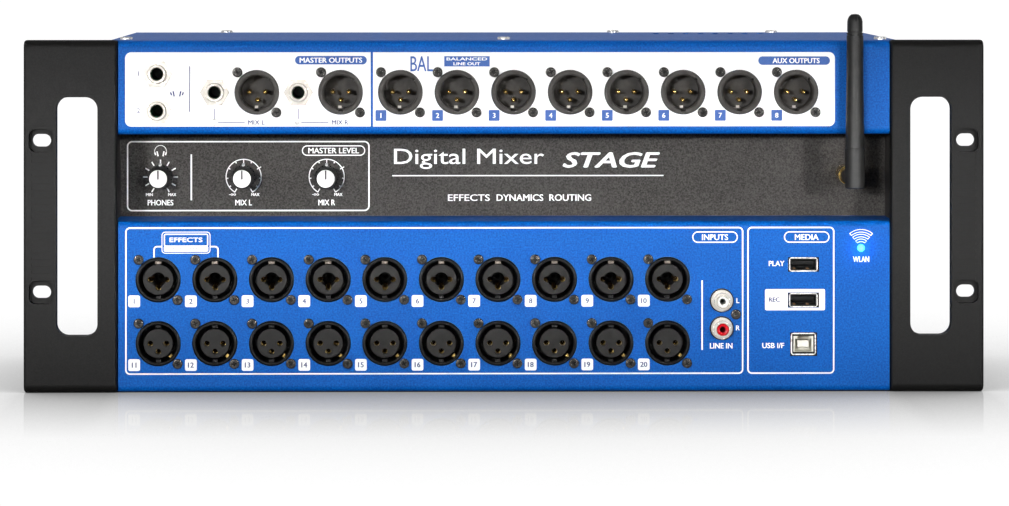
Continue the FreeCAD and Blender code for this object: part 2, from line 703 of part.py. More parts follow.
def combo_inserts():
    """Inserts with a plain jack bore crossed by three contact holes."""
    face, floor = FRONT + 0.8, SOCKET_BACK - 2.0
    body = turned("combo_insert", [
        (COMBO_BORE, floor), (COMBO_BORE, face + 0.4), (COMBO_BORE + 0.35, face),
        (7.4, face), (7.7, face + 0.3), (7.7, floor),
    ])
    document.recompute()
    holes = [rod(CONTACT_HOLE, FRONT - 1, 30.0, place) for place in pin_places(PIN_CIRCLE)]
    prototype = from_shape("combo_insert_model", body.Shape.cut(Part.makeCompound(holes)))
    return keep("combo_inserts", from_shape("combo_insert_set", copies(prototype, COMBO_CENTRES)))


def mic_inserts():
    """Inserts with three contact holes."""
    face, floor = FRONT + 0.5, SOCKET_BACK - 2.0
    body = turned("mic_insert", [(0.0, floor), (0.0, face), (7.15, face), (7.45, face + 0.3), (7.45, floor)])
    document.recompute()
    holes = [rod(CONTACT_HOLE, FRONT - 1, 30.0, place) for place in pin_places(PIN_CIRCLE)]
    prototype = from_shape("mic_insert_model", body.Shape.cut(Part.makeCompound(holes)))
    return keep("mic_inserts", from_shape("mic_insert_set", copies(prototype, MIC_CENTRES)))


def contact_pin():
    """A male contact with a domed tip."""
    radius, tip, end = PIN_RADIUS, FRONT.value + 3.2, BOARD_FRONT.value - FACE_GAP
    shank = rod(radius, tip + radius, end, (0.0, 0.0))
    dome = Part.makeSphere(radius, Vector(0, tip + radius, 0))
    return shank.fuse(dome).removeSplitter()


def contact_tube():
    """A female contact, well below the insert's face and open towards the front."""
    start, end, inner = 0.0, BOARD_FRONT.value - FACE_GAP, 1.15
    return rod(CONTACT_RADIUS, start, end, (0.0, 0.0)).cut(rod(inner, start - 1, end - 8.0, (0.0, 0.0)))


def connector_contacts():
    """Every gold contact: output pins, input tubes and the inlet's three blades."""
    shapes = []
    for model, centres in ((contact_pin(), OUTPUT_CENTRES), (contact_tube(), COMBO_CENTRES + MIC_CENTRES)):
        for centre in centres:
            for across, up in pin_places(PIN_CIRCLE):
                contact = model.translated(point((centre[0] + across, centre[1] + up)))
                if centre in COMBO_CENTRES:
                    contact = contact.cut(rod(COMBO_BORE + CLEARANCE, -20.0, SOCKET_BACK - 2.0, centre))
                shapes.append(contact)
    for centre in MIC_CENTRES:
        strip = block((-0.8, 0.8), (-4.5, 9.0), (-9.3, -8.3))
        strip.rotate(Vector(0, 0, 0), Vector(0, 1, 0), -45.0)
        shapes.append(strip.translated(point(centre)))
    plug = (INLET_CENTRE[0] - 12.0, INLET_CENTRE[1])
    for across, up in ((-7.0, -2.0), (7.0, -2.0), (0.0, 2.0)):
        middle = point((plug[0] + across, plug[1] + up))
        shapes.append(block((middle.x - 1.0, middle.x + 1.0), (160.0, 180.5), (middle.z - 2.0, middle.z + 2.0)))
    return keep("connector_contacts", from_shape("contact_set", Part.makeCompound(shapes)))


def input_latches():
    """One push tab at the top of each input's gap; pushing it in frees the plug."""
    tab = block((-1.5, 1.5), (FRONT - 0.4, 3.0), (7.9, 9.35))
    tab = tab.makeChamfer(0.4, [edge for edge in tab.Edges if edge.BoundBox.YMax < FRONT.value - 0.39])
    for n, centre in enumerate(COMBO_CENTRES + MIC_CENTRES, start=1):
        latch = document.addObject("Part::Feature", f"latch_{n:02d}")
        latch.Shape = tab
        latch.Placement = Placement(point(centre), Rotation())
        keep(f"input_latch_{n:02d}", latch)


def jack_sockets():
    """Threaded bush and body of a plain jack; four at the front and one at the rear."""
    bore, bush = named("jack_bore_radius"), named("jack_bush_radius")
    face, back = FRONT - 3.2, as_size(22.0)
    body = turned("jack_bush", [
        (bore, back), (bore, face + 0.3), (bore + 0.3, face), (bush - 0.4, face), (bush, face + 0.4),
        (bush, FRONT_BACK + 0.5), (bush, back),
    ])
    document.recompute()
    shell = block((-6.8, 6.8), (FRONT_BACK, 21.5), (-6.8, 6.8)).cut(rod(bore + 0.5, -20.0, 40.0, (0.0, 0.0)))
    jack = body.Shape.fuse(shell).removeSplitter()
    shapes = [jack.translated(point(centre)) for centre in FRONT_JACK_CENTRES]
    rear = jack.copy()
    rear.rotate(Vector(0, 0, 0), Vector(0, 0, 1), 180.0)
    shapes.append(rear.translated(point(REAR_JACK_CENTRE, REAR + FRONT)))
    return keep("jack_sockets", from_shape("jack_set", Part.makeCompound(shapes)))


def jack_nuts():
    """Chamfered hexagon nuts that clamp the jacks."""
    flats, height = named("jack_nut_flats").value, 2.2
    corner = flats / math.sqrt(3.0)
    turns = [math.radians(60.0 * n) for n in range(7)]
    corners = [Vector(corner * math.cos(turn), 0, corner * math.sin(turn)) for turn in turns]
    hexagon = Part.Face(Part.makePolygon(corners)).extrude(Vector(0, -height, 0))
    to_front = Vector(0, -1, 0)
    rounding = Part.makeCone(flats / 2 + 2.4, flats / 2 - 0.1, height + 0.3, Vector(0, 1.2, 0), to_front)
    nut = hexagon.common(rounding.fuse(rod(flats, -1.3, 0.0, (0.0, 0.0))))
    nut = nut.cut(rod(named("jack_bush_radius") + CLEARANCE, -9.0, 9.0, (0.0, 0.0)))
    shapes = [nut.translated(point(centre, FRONT)) for centre in FRONT_JACK_CENTRES]
    rear = nut.copy()
    rear.rotate(Vector(0, 0, 0), Vector(0, 0, 1), 180.0)
    shapes.append(rear.translated(point(REAR_JACK_CENTRE, REAR)))
    return keep("jack_nuts", from_shape("jack_nut_set", Part.makeCompound(shapes)))


def phono_block():
    """Housing behind the sheet with two bosses, and in each a plated sleeve with an insulator."""
    across, low, high = named("phono_across"), named("phono_lower") - 9.0, named("phono_upper") + 9.0
    sleeve = named("phono_sleeve_radius")
    housing = block((across - 8.0, across + 11.0), (FRONT_BACK, 9.0), (low, high))
    for centre in PHONO_CENTRES:
        housing = housing.fuse(rod(6.0, FRONT - 0.5, 0.0, centre))
    bores = [rod(sleeve + CLEARANCE, -20.0, 20.0, centre) for centre in PHONO_CENTRES]
    bores.append(rod(SCREW_SHANK_RADIUS + CLEARANCE, -20.0, 20.0, PHONO_SCREW))
    housing = housing.removeSplitter().cut(Part.makeCompound(bores))
    keep("phono_housing", from_shape("phono_housing_shape", housing))

    base, nose, back = FRONT - 0.55, FRONT - 8.5, as_size(9.0)
    inner = named("phono_core_radius")
    body = turned("phono_sleeve", [
        (inner, back), (inner, nose), (inner + 0.25, nose - 0.2), (sleeve - 0.3, nose - 0.2), (sleeve, nose),
        (sleeve, base - 0.8), (5.3, base - 0.8), (5.5, base - 0.6), (5.5, base), (sleeve, base), (sleeve, back),
    ])
    document.recompute()
    keep("phono_sleeves", from_shape("phono_sleeve_set", copies(body, PHONO_CENTRES)))

    core = inner - CLEARANCE
    for name, centre in zip(("left_phono_insulator", "right_phono_insulator"), PHONO_CENTRES):
        insulator = turned(f"{name}_body", [
            (1.55, 9.0), (1.55, nose + 0.9), (core - 0.5, nose + 0.6), (core, nose + 1.1), (core, 9.0),
        ])
        set_back(insulator, across=centre[0], up=centre[1])
        keep(name, insulator)


def usb_shell(width, height, wall, flare, opening_back):
    """A folded steel port shell with a flared mouth, open at the front."""
    zero = (as_size(0.0), as_size(0.0))
    face, back = FRONT - 0.3, as_size(12.0)
    shell = rounded_block(zero, width, height, 0.6, face, back)
    mouth = rounded_block(zero, width + 2 * flare, height + 2 * flare, 1.5, face, face + 0.5)
    hollow = rounded_block(zero, width - 2 * wall, height - 2 * wall, 0.3, face - 1, opening_back)
    return shell.fuse(mouth).removeSplitter().cut(hollow)


def usb_ports():
    host = [(named("usb_across"), named(row)) for row in ("usb_play_height", "usb_record_height")]
    device = (named("usb_across"), named("usb_device_height"))
    host_shell = usb_shell(13.6, 6.4, 0.4, 0.35, 11.4)
    shapes = [host_shell.translated(point(centre)) for centre in host]
    shapes.append(usb_shell(12.2, 10.7, 0.4, 0.2, 11.4).translated(point(device)))
    keep("usb_shells", from_shape("usb_shell_set", Part.makeCompound(shapes)))

    zero = (as_size(0.0), as_size(0.0))
    root = block((-6.3, 6.3), (7.5, 11.3), (-2.7, 2.7))
    blade = block((-5.6, 5.6), (FRONT + 1.2, 8.0), (-0.1, 1.8))
    tongue = root.fuse(blade).removeSplitter()
    tongues = Part.makeCompound([tongue.translated(point(centre)) for centre in host])
    keep("usb_tongues", from_shape("usb_tongue_set", tongues))

    insert = rounded_block(zero, 11.3, 9.8, 0.3, FRONT + 0.2, 11.3)
    mouth = block((-4.25, 4.25), (FRONT - 1, 5.0), (-3.9, 3.9))
    mouth = mouth.makeChamfer(1.6, [e for e in along(mouth, Vector(0, 1, 0)) if e.CenterOfMass.z > 0])
    stem = block((-2.8, 2.8), (FRONT + 1.5, 6.0), (-1.6, 1.6))
    insert = insert.cut(mouth).fuse(stem).removeSplitter()
    keep("usb_device_insert", from_shape("usb_device_insert_shape", insert.translated(point(device))))


def wireless_lamp():
    body = turned("lamp_lens", [
        (0.0, 4.0), (0.0, FRONT - 0.9), (1.0, FRONT - 0.75), (1.6, FRONT - 0.3), (1.9, FRONT + 0.3), (1.9, 4.0),
    ])
    set_back(body, across=named("lamp_across"), up=named("lamp_height"))
    return keep("wireless_lamp", body)


# ---------------------------------------------------------------- controls
def level_controls():
    """Rotary controls: body behind the back wall, bush through both sheets, shaft into the knob."""
    shaft, bush = named("pot_shaft_radius"), 3.4
    body = turned("level_control", [
        (0.0, 46.0), (0.0, 22.4), (shaft, 22.4), (shaft, 33.2), (bush, 33.2), (bush, 42.0), (bush, 46.0),
    ])
    document.recompute()
    case = block((-6.0, 6.0), (BACK_WALL + 0.05, 46.0), (-6.5, 6.5))
    prototype = from_shape("level_control_model", body.Shape.fuse(case).removeSplitter())
    return keep("level_controls", from_shape("level_control_set", copies(prototype, KNOB_CENTRES)))


def knob_profile():
    """Conical skirted knob with a blind bore for the shaft and a shallow seat for the cap."""
    bore = named("pot_shaft_radius") + CLEARANCE
    skirt, cap, front = named("knob_radius"), named("knob_cap_radius"), named("knob_front")
    back = PANEL_FRONT - 0.6
    return [
        (4.0, back), (4.0, 32.6), (bore, 32.6), (bore, 22.2), (0.0, 22.2), (0.0, front + 1.4),
        (cap, front + 1.4), (cap, front + 0.5), (cap + 0.4, front + 0.3), (skirt - 0.9, front + 3.6), (skirt - 0.15, back - 1.2),
        (skirt, back),
    ]


def knobs():
    names = ("phones", "mix_left", "mix_right")
    grooves = []
    flute_count, flute_radius = 18, 0.42
    for n in range(flute_count):
        angle = math.radians(360.0 * (n + 0.5) / flute_count)
        reach = named("knob_radius").value - 0.35
        grooves.append(rod(flute_radius, named("knob_front") + 3.0, PANEL_FRONT - 2.2,
                           (reach * math.cos(angle), reach * math.sin(angle))))
    for name, centre in zip(names, KNOB_CENTRES):
        plain = turned(f"{name}_knob_turned", knob_profile())
        flutes = from_shape(f"{name}_knob_flutes", Part.makeCompound(grooves))
        knob = cut(f"{name}_knob_cut", plain, flutes)
        set_back(knob, across=centre[0], up=centre[1])
        keep(f"{name}_knob", knob)
        cap_radius, front = named("knob_cap_radius") - CLEARANCE, named("knob_front")
        cap = turned(f"{name}_cap_turned", [
            (0.0, front + 1.35), (0.0, front - 0.3), (cap_radius * 0.6, front - 0.15),
            (cap_radius - 0.3, front + 0.15), (cap_radius, front + 0.5), (cap_radius, front + 1.35),
        ])
        pointer = from_shape(f"{name}_pointer", block((-0.35, 0.35), (front - 1, front + 0.35), (0.4, 6.0)))
        cap_cut = cut(f"{name}_cap_cut", cap, pointer)
        set_back(cap_cut, across=centre[0], up=centre[1])
        keep(f"{name}_knob_cap", cap_cut)


def antenna():
    """Gold jack and nut, a foot that swivels about Y, and a mast that folds about X."""
    across, up = ANTENNA_AXIS
    hinge, barrel = named("antenna_hinge"), named("antenna_barrel_radius")
    nut_front, foot_front = as_size(19.0), hinge + 7.2
    jack = turned("antenna_jack", [
        (0.7, 44.0), (0.7, 30.5), (3.1, 30.5), (3.1, PANEL_FRONT - 1.6), (4.6, PANEL_FRONT - 1.6),
        (4.6, PANEL_FRONT), (3.2, PANEL_FRONT), (3.2, 44.0),
    ])
    nut = turned("antenna_nut", [
        (4.25, 30.0), (4.25, nut_front + 0.2), (4.5, nut_front), (4.8, nut_front), (5.05, nut_front + 0.25),
        (5.05, 33.8), (3.2, 33.8), (3.2, 30.0),
    ])
    document.recompute()
    shapes = [piece.Shape.translated(point(ANTENNA_AXIS)) for piece in (jack, nut)]
    keep("antenna_connector", from_shape("antenna_connector_set", Part.makeCompound(shapes)))

    foot_radius, tongue_half, tongue_reach, trunnion = 4.15, 1.7, 2.8, 1.3
    foot = turned("antenna_foot_turned", [
        (0.0, 29.8), (0.0, foot_front), (foot_radius - 0.5, foot_front), (foot_radius, foot_front + 0.5),
        (foot_radius, 29.8),
    ])
    document.recompute()
    tongue = block((-tongue_half, tongue_half), (hinge, foot_front + 2), (-tongue_reach, tongue_reach))
    along_hinge = Vector(1, 0, 0)
    knuckle = Part.makeCylinder(tongue_reach, 2 * tongue_half, Vector(-tongue_half, hinge.value, 0), along_hinge)
    stub = Part.makeCylinder(trunnion, 7.6, Vector(-3.8, hinge.value, 0), along_hinge)
    base = foot.Shape.fuse([tongue, knuckle, stub]).removeSplitter()
    keep("antenna_foot", from_shape("antenna_foot_shape", base.translated(point(ANTENNA_AXIS))))

    bottom, shoulder, tip = as_size(-4.8), as_size(15.2), named("antenna_tip") - up
    ring, whip_low, whip_waist, whip_top, cap = as_size(72.3), 4.75, 4.5, 4.2, 3.9
    mast = turned("antenna_mast_turned", [
        (0.0, tip), (0.0, bottom), (barrel - 0.6, bottom), (barrel, bottom + 0.6), (barrel, shoulder),
        (whip_low, shoulder + 0.3), (whip_waist, 31.0), (whip_top, 56.0), (whip_top, ring - 0.4),
        (whip_top - 0.4, ring - 0.3), (whip_top - 0.4, ring + 0.2), (whip_top, ring + 0.3),
        (whip_top, ring + 0.9), (cap - 0.3, ring + 1.0), (cap - 0.3, ring + 1.5), (cap, ring + 1.6),
        (cap - 0.05, tip - 3.8), (3.55, tip - 2.4), (2.9, tip - 1.2), (1.85, tip - 0.3),
    ], plane="XZ_Plane")
    set_back(mast, depth=hinge)
    document.recompute()
    slot_half, slot_reach = tongue_half + 0.15, tongue_reach + 0.25
    slot = block((-slot_half, slot_half), (hinge - slot_reach, hinge + 20), (-20.0, slot_reach))
    pivot = Part.makeCylinder(trunnion + CLEARANCE.value, 7.8, Vector(-3.9, hinge.value, 0), along_hinge)
    arm = mast.Shape.cut(slot).cut(pivot)
    keep("antenna_mast", from_shape("antenna_mast_shape", arm.translated(point(ANTENNA_AXIS))))


# ---------------------------------------------------------------- rear and inside
def mains_inlet():
    """Inlet and rocker switch module with its bezel on the rear wall."""
    across, up = INLET_CENTRE
    body = rounded_block(INLET_CENTRE, 47.0, 27.0, 0.9, 158.0, REAR + 0.1)
    bezel = rounded_block(INLET_CENTRE, 52.0, 31.0, 1.5, REAR, REAR + 2.5)
    plug = (across - 12.0, up)
    mouth = block((plug[0] - 12.2, plug[0] + 12.2), (164.0, REAR + 5), (plug[1] - 8.2, plug[1] + 8.2))
    mouth = mouth.makeChamfer(3.0, [e for e in along(mouth, Vector(0, 1, 0)) if e.CenterOfMass.z > up.value])
    blades = []
    for side, lift in ((-7.0, -2.0), (7.0, -2.0), (0.0, 2.0)):
        blades.append(block((plug[0] + side - 1.05, plug[0] + side + 1.05), (150.0, 170.0),
                            (plug[1] + lift - 2.05, plug[1] + lift + 2.05)))
    well = block((across + 6.9, across + 19.1), (172.0, REAR + 5), (up - 11.2, up + 11.2))
    pivot = Part.makeCylinder(1.3, 15.0, Vector(across.value + 5.5, ROCKER_DEPTH, up.value), Vector(1, 0, 0))
    whole = body.fuse(bezel).removeSplitter().cut(Part.makeCompound(blades + [mouth, well, pivot]))
    return keep("mains_inlet", from_shape("mains_inlet_shape", whole))




def power_rocker():
    """Rocker with two stub pivots, resting in its off position."""
    across, up = INLET_CENTRE
    centre = across.value + 13.0
    face = REAR.value + 2.5
    outline = [
        Vector(0, 176.5, -8.2), Vector(0, 176.5, 8.2), Vector(0, face + 0.6, 10.2), Vector(0, face + 0.1, 0.0),
        Vector(0, face + 0.6, -10.2), Vector(0, 176.5, -8.2),
    ]
    paddle = Part.Face(Part.makePolygon(outline)).extrude(Vector(11.6, 0, 0)).translated(Vector(-5.8, 0, 0))
    stubs = Part.makeCylinder(1.25, 14.4, Vector(-7.2, ROCKER_DEPTH, 0), Vector(1, 0, 0))
    rocker = paddle.fuse(stubs).removeSplitter()
    rocker.rotate(Vector(0, ROCKER_DEPTH, 0), Vector(1, 0, 0), -ROCKER_TILT)
    rocker = rocker.translated(Vector(centre, 0, up.value))
    return keep("power_rocker", from_shape("power_rocker_shape", rocker))


def network_socket():
    shell = rounded_block(NETWORK_CENTRE, 16.2, 13.8, 0.5, 165.0, REAR + 0.6)
    across, up = NETWORK_CENTRE
    mouth = block((across - 6.0, across + 6.0), (171.0, REAR + 2), (up - 4.2, up + 3.4))
    lug = block((across - 2.0, across + 2.0), (171.0, REAR + 2), (up - 5.6, up - 4.0))
    return keep("network_socket", from_shape("network_socket_shape", shell.cut(mouth.fuse(lug))))


def board_standoffs():
    shapes = []
    for across, depth in BOARD_POSTS + SUPPLY_POSTS:
        post = Part.makeCylinder(3.0, BOARD_HEIGHT - FLOOR_TOP.value, Vector(across, depth, FLOOR_TOP.value))
        stud = Part.makeCylinder(1.4, 5.0, Vector(across, depth, BOARD_HEIGHT - 1.0))
        shapes.append(post.fuse(stud).removeSplitter())
    return keep("board_standoffs", from_shape("standoff_set", Part.makeCompound(shapes)))


def board_with(plate, lumps, holes):
    """A circuit board with its parts standing on it."""
    board = plate.fuse(lumps).removeSplitter()
    return board.cut(Part.makeCompound(holes)) if holes else board


def circuit_boards():
    """Main board on standoffs, and the upright boards behind outputs, inputs and level controls."""
    back = BOARD_FRONT.value + BOARD_THICKNESS
    outputs = block((-186.0, 162.0), (BOARD_FRONT, back), (45.0, 82.0))
    output_parts = [block((x, x + 9.0), (back - 0.1, back + 2.2), (54.0, 63.0)) for x in range(-160, 150, 40)]
    inputs = block((-188.0, 160.0), (BOARD_FRONT, back), (-82.0, -8.0))
    input_parts = [block((x, x + 10.0), (back - 0.1, back + 2.4), (z, z + 10.0))
                   for x in range(-170, 80, 40) for z in (-68.0, -30.0)]
    levels = block((-186.0, -80.0), (46.1, 47.7), (5.0, 32.0))
    level_parts = [block((-160.0, -140.0), (47.6, 52.0), (10.0, 26.0))]
    surface = BOARD_HEIGHT + BOARD_THICKNESS
    main = block((-186.0, 60.0), (54.0, 174.0), (BOARD_HEIGHT, surface))
    main_parts = [
        block((-90.0, -50.0), (90.0, 130.0), (surface - 0.1, surface + 12.0)),
        block((-20.0, 8.0), (80.0, 108.0), (surface - 0.1, surface + 3.0)),
        block((-150.0, -122.0), (96.0, 124.0), (surface - 0.1, surface + 3.0)),
        block((20.0, 50.0), (70.0, 96.0), (surface - 0.1, surface + 5.0)),
        block((-30.0, 30.0), (140.0, 150.0), (surface - 0.1, surface + 14.0)),
    ]
    posts = [Part.makeCylinder(1.6, 6.0, Vector(x, y, BOARD_HEIGHT - 2.0)) for x, y in BOARD_POSTS]
    shapes = [board_with(outputs, output_parts, []), board_with(inputs, input_parts, []),
              board_with(levels, level_parts, []), board_with(main, main_parts, posts)]
    return keep("circuit_boards", from_shape("circuit_board_set", Part.makeCompound(shapes)))


def power_supply():
    """Open-frame supply: base plate with transformer, capacitors and a finned heat sink."""
    surface = BOARD_HEIGHT + 2.0
    plate = block((96.0, 186.0), (56.0, 144.0), (BOARD_HEIGHT, surface))
    parts = [
        block((112.0, 142.0), (86.0, 120.0), (surface - 0.1, surface + 26.0)),
        block((166.0, 170.0), (66.0, 134.0), (surface - 0.1, surface + 30.0)),
        Part.makeCylinder(9.0, 28.0, Vector(154.0, 128.0, surface - 0.1)),
        Part.makeCylinder(9.0, 28.0, Vector(126.0, 72.0, surface - 0.1)),
    ]
    parts += [block((169.9, 176.0), (y, y + 2.0), (surface + 2.0, surface + 30.0)) for y in range(68, 132, 6)]
    posts = [Part.makeCylinder(1.6, 6.0, Vector(x, y, BOARD_HEIGHT - 2.0)) for x, y in SUPPLY_POSTS]
    return keep("power_supply", from_shape("power_supply_shape", board_with(plate, parts, posts)))


def ribbon(low, high, path):
    """A flat cable: a strip of constant thickness along a path of (depth, up) points."""
    thickness = 0.9
    pieces = []
    for (y0, z0), (y1, z1) in zip(path, path[1:]):
        near, far = sorted((y0, y1))
        down, top = sorted((z0, z1))
        depths = (near - thickness / 2, far + thickness / 2)
        pieces.append(block((low, high), depths, (down - thickness / 2, top + thickness / 2)))
    return pieces[0].fuse(pieces[1:]).removeSplitter()


def lead(radius, path):
    """A round cable through straight runs with rounded corners."""
    points = [Vector(*place) for place in path]
    pieces = [Part.makeSphere(radius, place) for place in points[1:-1]]
    for start, end in zip(points, points[1:]):
        pieces.append(Part.makeCylinder(radius, (end - start).Length, start, end - start))
    return pieces[0].fuse(pieces[1:]).removeSplitter()


def wiring():
    """Ribbon cables between the boards, the antenna's coaxial lead and the mains leads."""
    board_top = BOARD_HEIGHT + BOARD_THICKNESS + 0.6
    shapes = [
        ribbon(-45.0, -15.0, [(26.4, 66.0), (60.0, 66.0), (60.0, board_top)]),
        ribbon(-5.0, 25.0, [(26.4, -50.0), (57.0, -50.0), (57.0, board_top)]),
        ribbon(-134.0, -114.0, [(48.5, 20.0), (64.0, 20.0), (64.0, board_top)]),
        lead(0.9, [(175.6, 44.6, 19.0), (175.6, 52.0, 19.0), (80.0, 52.0, 19.0), (80.0, 66.0, 19.0),
                   (80.0, 66.0, -60.0), (40.0, 76.0, -60.0), (40.0, 76.0, -71.0)]),
    ]
    for lift in (0.0, 4.0, 8.0):
        shapes.append(lead(1.1, [(136.0 + lift, 149.5, -66.0 + lift), (136.0 + lift, 147.0, -66.0 + lift),
                                 (104.0 + lift, 147.0, -66.0 + lift), (104.0 + lift, 130.0, -66.0 + lift),
                                 (104.0 + lift, 130.0, -75.8)]))
    return keep("wiring", from_shape("wiring_set", Part.makeCompound(shapes)))


def build():
    front_panel()
    chassis_tray()
    top_cover()
    control_panel()
    rack_ears()
    case_screws()
    connector_screws()
    output_sockets()
    input_sockets()
    combo_inserts()
    mic_inserts()
    connector_contacts()
    input_latches()
    jack_sockets()
    jack_nuts()
    phono_block()
    usb_ports()
    wireless_lamp()
    level_controls()
    knobs()
    antenna()
    mains_inlet()
    power_rocker()
    network_socket()
    board_standoffs()
    circuit_boards()
    power_supply()
    wiring()


def write_nodes():
    """Stops on any failed object, and writes every sub-part to its own file."""
    document.recompute()
    failed = [item.Name for item in document.Objects if "Invalid" in item.State or "Error" in item.State]
    failed += [name for name, piece in nodes.items() if piece.Shape.isNull() or not piece.Shape.isValid()]
    failed += [name for name, piece in nodes.items() if not piece.Shape.Solids]
    if failed:
        raise RuntimeError(f"these objects failed: {sorted(set(failed))}")
    os.makedirs("parts", exist_ok=True)
    for name, piece in nodes.items():
        piece.Shape.exportStep(f"parts/{name}.step")
    print(f"{len(nodes)} nodes written")


build()
write_nodes()
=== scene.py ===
"""Looks for a four-unit rack-mount digital mixer: finishes, printed legends, small visible details, studio.

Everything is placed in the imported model's own frame: +X right, +Y to the rear, +Z up, in metres.
Legends are drawn in millimetres, as (across, up) on the face that carries them, and scaled once.
"""

import math
import random

import bmesh
import bpy
from mathutils import Matrix, Vector


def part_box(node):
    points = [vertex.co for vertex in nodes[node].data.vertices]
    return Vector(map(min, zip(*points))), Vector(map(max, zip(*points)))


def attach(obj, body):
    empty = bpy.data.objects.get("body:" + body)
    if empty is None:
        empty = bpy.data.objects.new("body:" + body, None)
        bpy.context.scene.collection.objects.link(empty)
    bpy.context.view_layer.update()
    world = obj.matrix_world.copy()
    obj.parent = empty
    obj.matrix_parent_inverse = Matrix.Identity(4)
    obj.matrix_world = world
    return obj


MM = 0.001

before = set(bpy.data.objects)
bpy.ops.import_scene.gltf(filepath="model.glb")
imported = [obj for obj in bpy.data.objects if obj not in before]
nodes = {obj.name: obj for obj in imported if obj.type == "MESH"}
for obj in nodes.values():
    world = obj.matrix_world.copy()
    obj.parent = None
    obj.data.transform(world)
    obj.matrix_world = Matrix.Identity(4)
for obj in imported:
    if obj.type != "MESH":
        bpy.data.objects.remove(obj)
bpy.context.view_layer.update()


# ---------------------------------------------------------------- places taken from the frame
def span(node):
    """A node's lowest and highest corners at rest, in millimetres."""
    low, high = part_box(node)
    return low / MM, high / MM


def centre_of(node):
    """(across, up) of the middle of a node, in millimetres."""
    low, high = span(node)
    return (low.x + high.x) / 2, (low.z + high.z) / 2


FRONT_FACE = span("front_panel")[0].y
CONTROL_SHEET = 1.5
CONTROL_FACE = span("control_panel")[1].y - CONTROL_SHEET
PANEL_BOTTOM = span("left_rack_ear")[0].z
SOCKET_FLANGE = 13.0

input_low, input_high = span("mic_inserts")
combo_low, combo_high = span("combo_inserts")
output_low, output_high = span("output_sockets")
INSERT_RADIUS = (combo_high.z - combo_low.z) / 2
FIRST_INPUT = combo_low.x + INSERT_RADIUS
SOCKET_PITCH = (combo_high.x - combo_low.x - 2 * INSERT_RADIUS) / 9
COMBO_ROW = (combo_low.z + combo_high.z) / 2
MIC_ROW = (input_low.z + input_high.z) / 2
OUTPUT_ROW = (output_low.z + output_high.z) / 2
LAST_OUTPUT = output_high.x - SOCKET_FLANGE
LEFT_MASTER = output_low.x + SOCKET_FLANGE
MASTER_STEP = 42.0
RIGHT_MASTER = LEFT_MASTER + MASTER_STEP
AUX_OUTPUTS = [LAST_OUTPUT - SOCKET_PITCH * (7 - n) for n in range(8)]
INPUTS = [FIRST_INPUT + SOCKET_PITCH * n for n in range(10)]
MIX_JACKS = [LEFT_MASTER - MASTER_STEP / 2 - 0.2, RIGHT_MASTER - MASTER_STEP / 2 - 0.2]
PHONES_COLUMN = -174.5
PHONES_JACKS = [(PHONES_COLUMN, OUTPUT_ROW + 9.25), (PHONES_COLUMN, OUTPUT_ROW - 9.25)]
USB_HOSTS = (-24.5, -42.45)
USB_DEVICE = -64.5
LAMP = centre_of("wireless_lamp")
KNOBS = {"phones": centre_of("phones_knob"), "mix_left": centre_of("mix_left_knob"),
         "mix_right": centre_of("mix_right_knob")}


# ---------------------------------------------------------------- finishes
class Graph:
    """A shader tree with short ways to add, set and link its nodes."""

    def __init__(self, tree):
        self.tree = tree

    def node(self, kind, **settings):
        made = self.tree.nodes.new(kind)
        for key, value in settings.items():
            setattr(made, key, value)
        return made

    def feed(self, socket, value):
        """Links an output to an input, or sets the input to a plain value."""
        if isinstance(value, bpy.types.NodeSocket):
            self.tree.links.new(value, socket)
        else:
            socket.default_value = value

    def levels(self, factor, low, high, start=0.3, end=0.7):
        """Maps a value's start-end range to low-high."""
        node = self.node("ShaderNodeMapRange")
        for socket, value in (("Value", factor), ("From Min", start), ("From Max", end),
                              ("To Min", low), ("To Max", high)):
            self.feed(node.inputs[socket], value)
        return node.outputs["Result"]

    def maths(self, operation, *values, clamp=False):
        node = self.node("ShaderNodeMath", operation=operation, use_clamp=clamp)
        for socket, value in zip(node.inputs, values):
            self.feed(socket, value)
        return node.outputs[0]

    def ramp(self, factor, stops):
        """Maps a value to a grey level through (position, grey level) stops."""
        node = self.node("ShaderNodeValToRGB")
        self.feed(node.inputs[0], factor)
        elements = node.color_ramp.elements
        elements.remove(elements[-1])
        for position, grey in stops:
            stop = elements[0] if position == stops[0][0] else elements.new(position)
            stop.position = position
            stop.color = (grey, grey, grey, 1.0)
        return node.outputs[0]

    def axes(self, place):
        node = self.node("ShaderNodeSeparateXYZ")
        self.feed(node.inputs[0], place)
        return node.outputs

    def blend(self, factor, first, second):
        """A number between two others."""
        node = self.node("ShaderNodeMix", data_type="FLOAT")
        self.feed(node.inputs["Factor"], factor)
        self.feed(node.inputs[2], first)
        self.feed(node.inputs[3], second)
        return node.outputs[0]

    def either(self, factor, first, second):
        """One shader where factor is 0, another where it is 1."""
        node = self.node("ShaderNodeMixShader")
        for socket, value in zip(node.inputs, (factor, first, second)):
            self.feed(socket, value)
        return node.outputs[0]


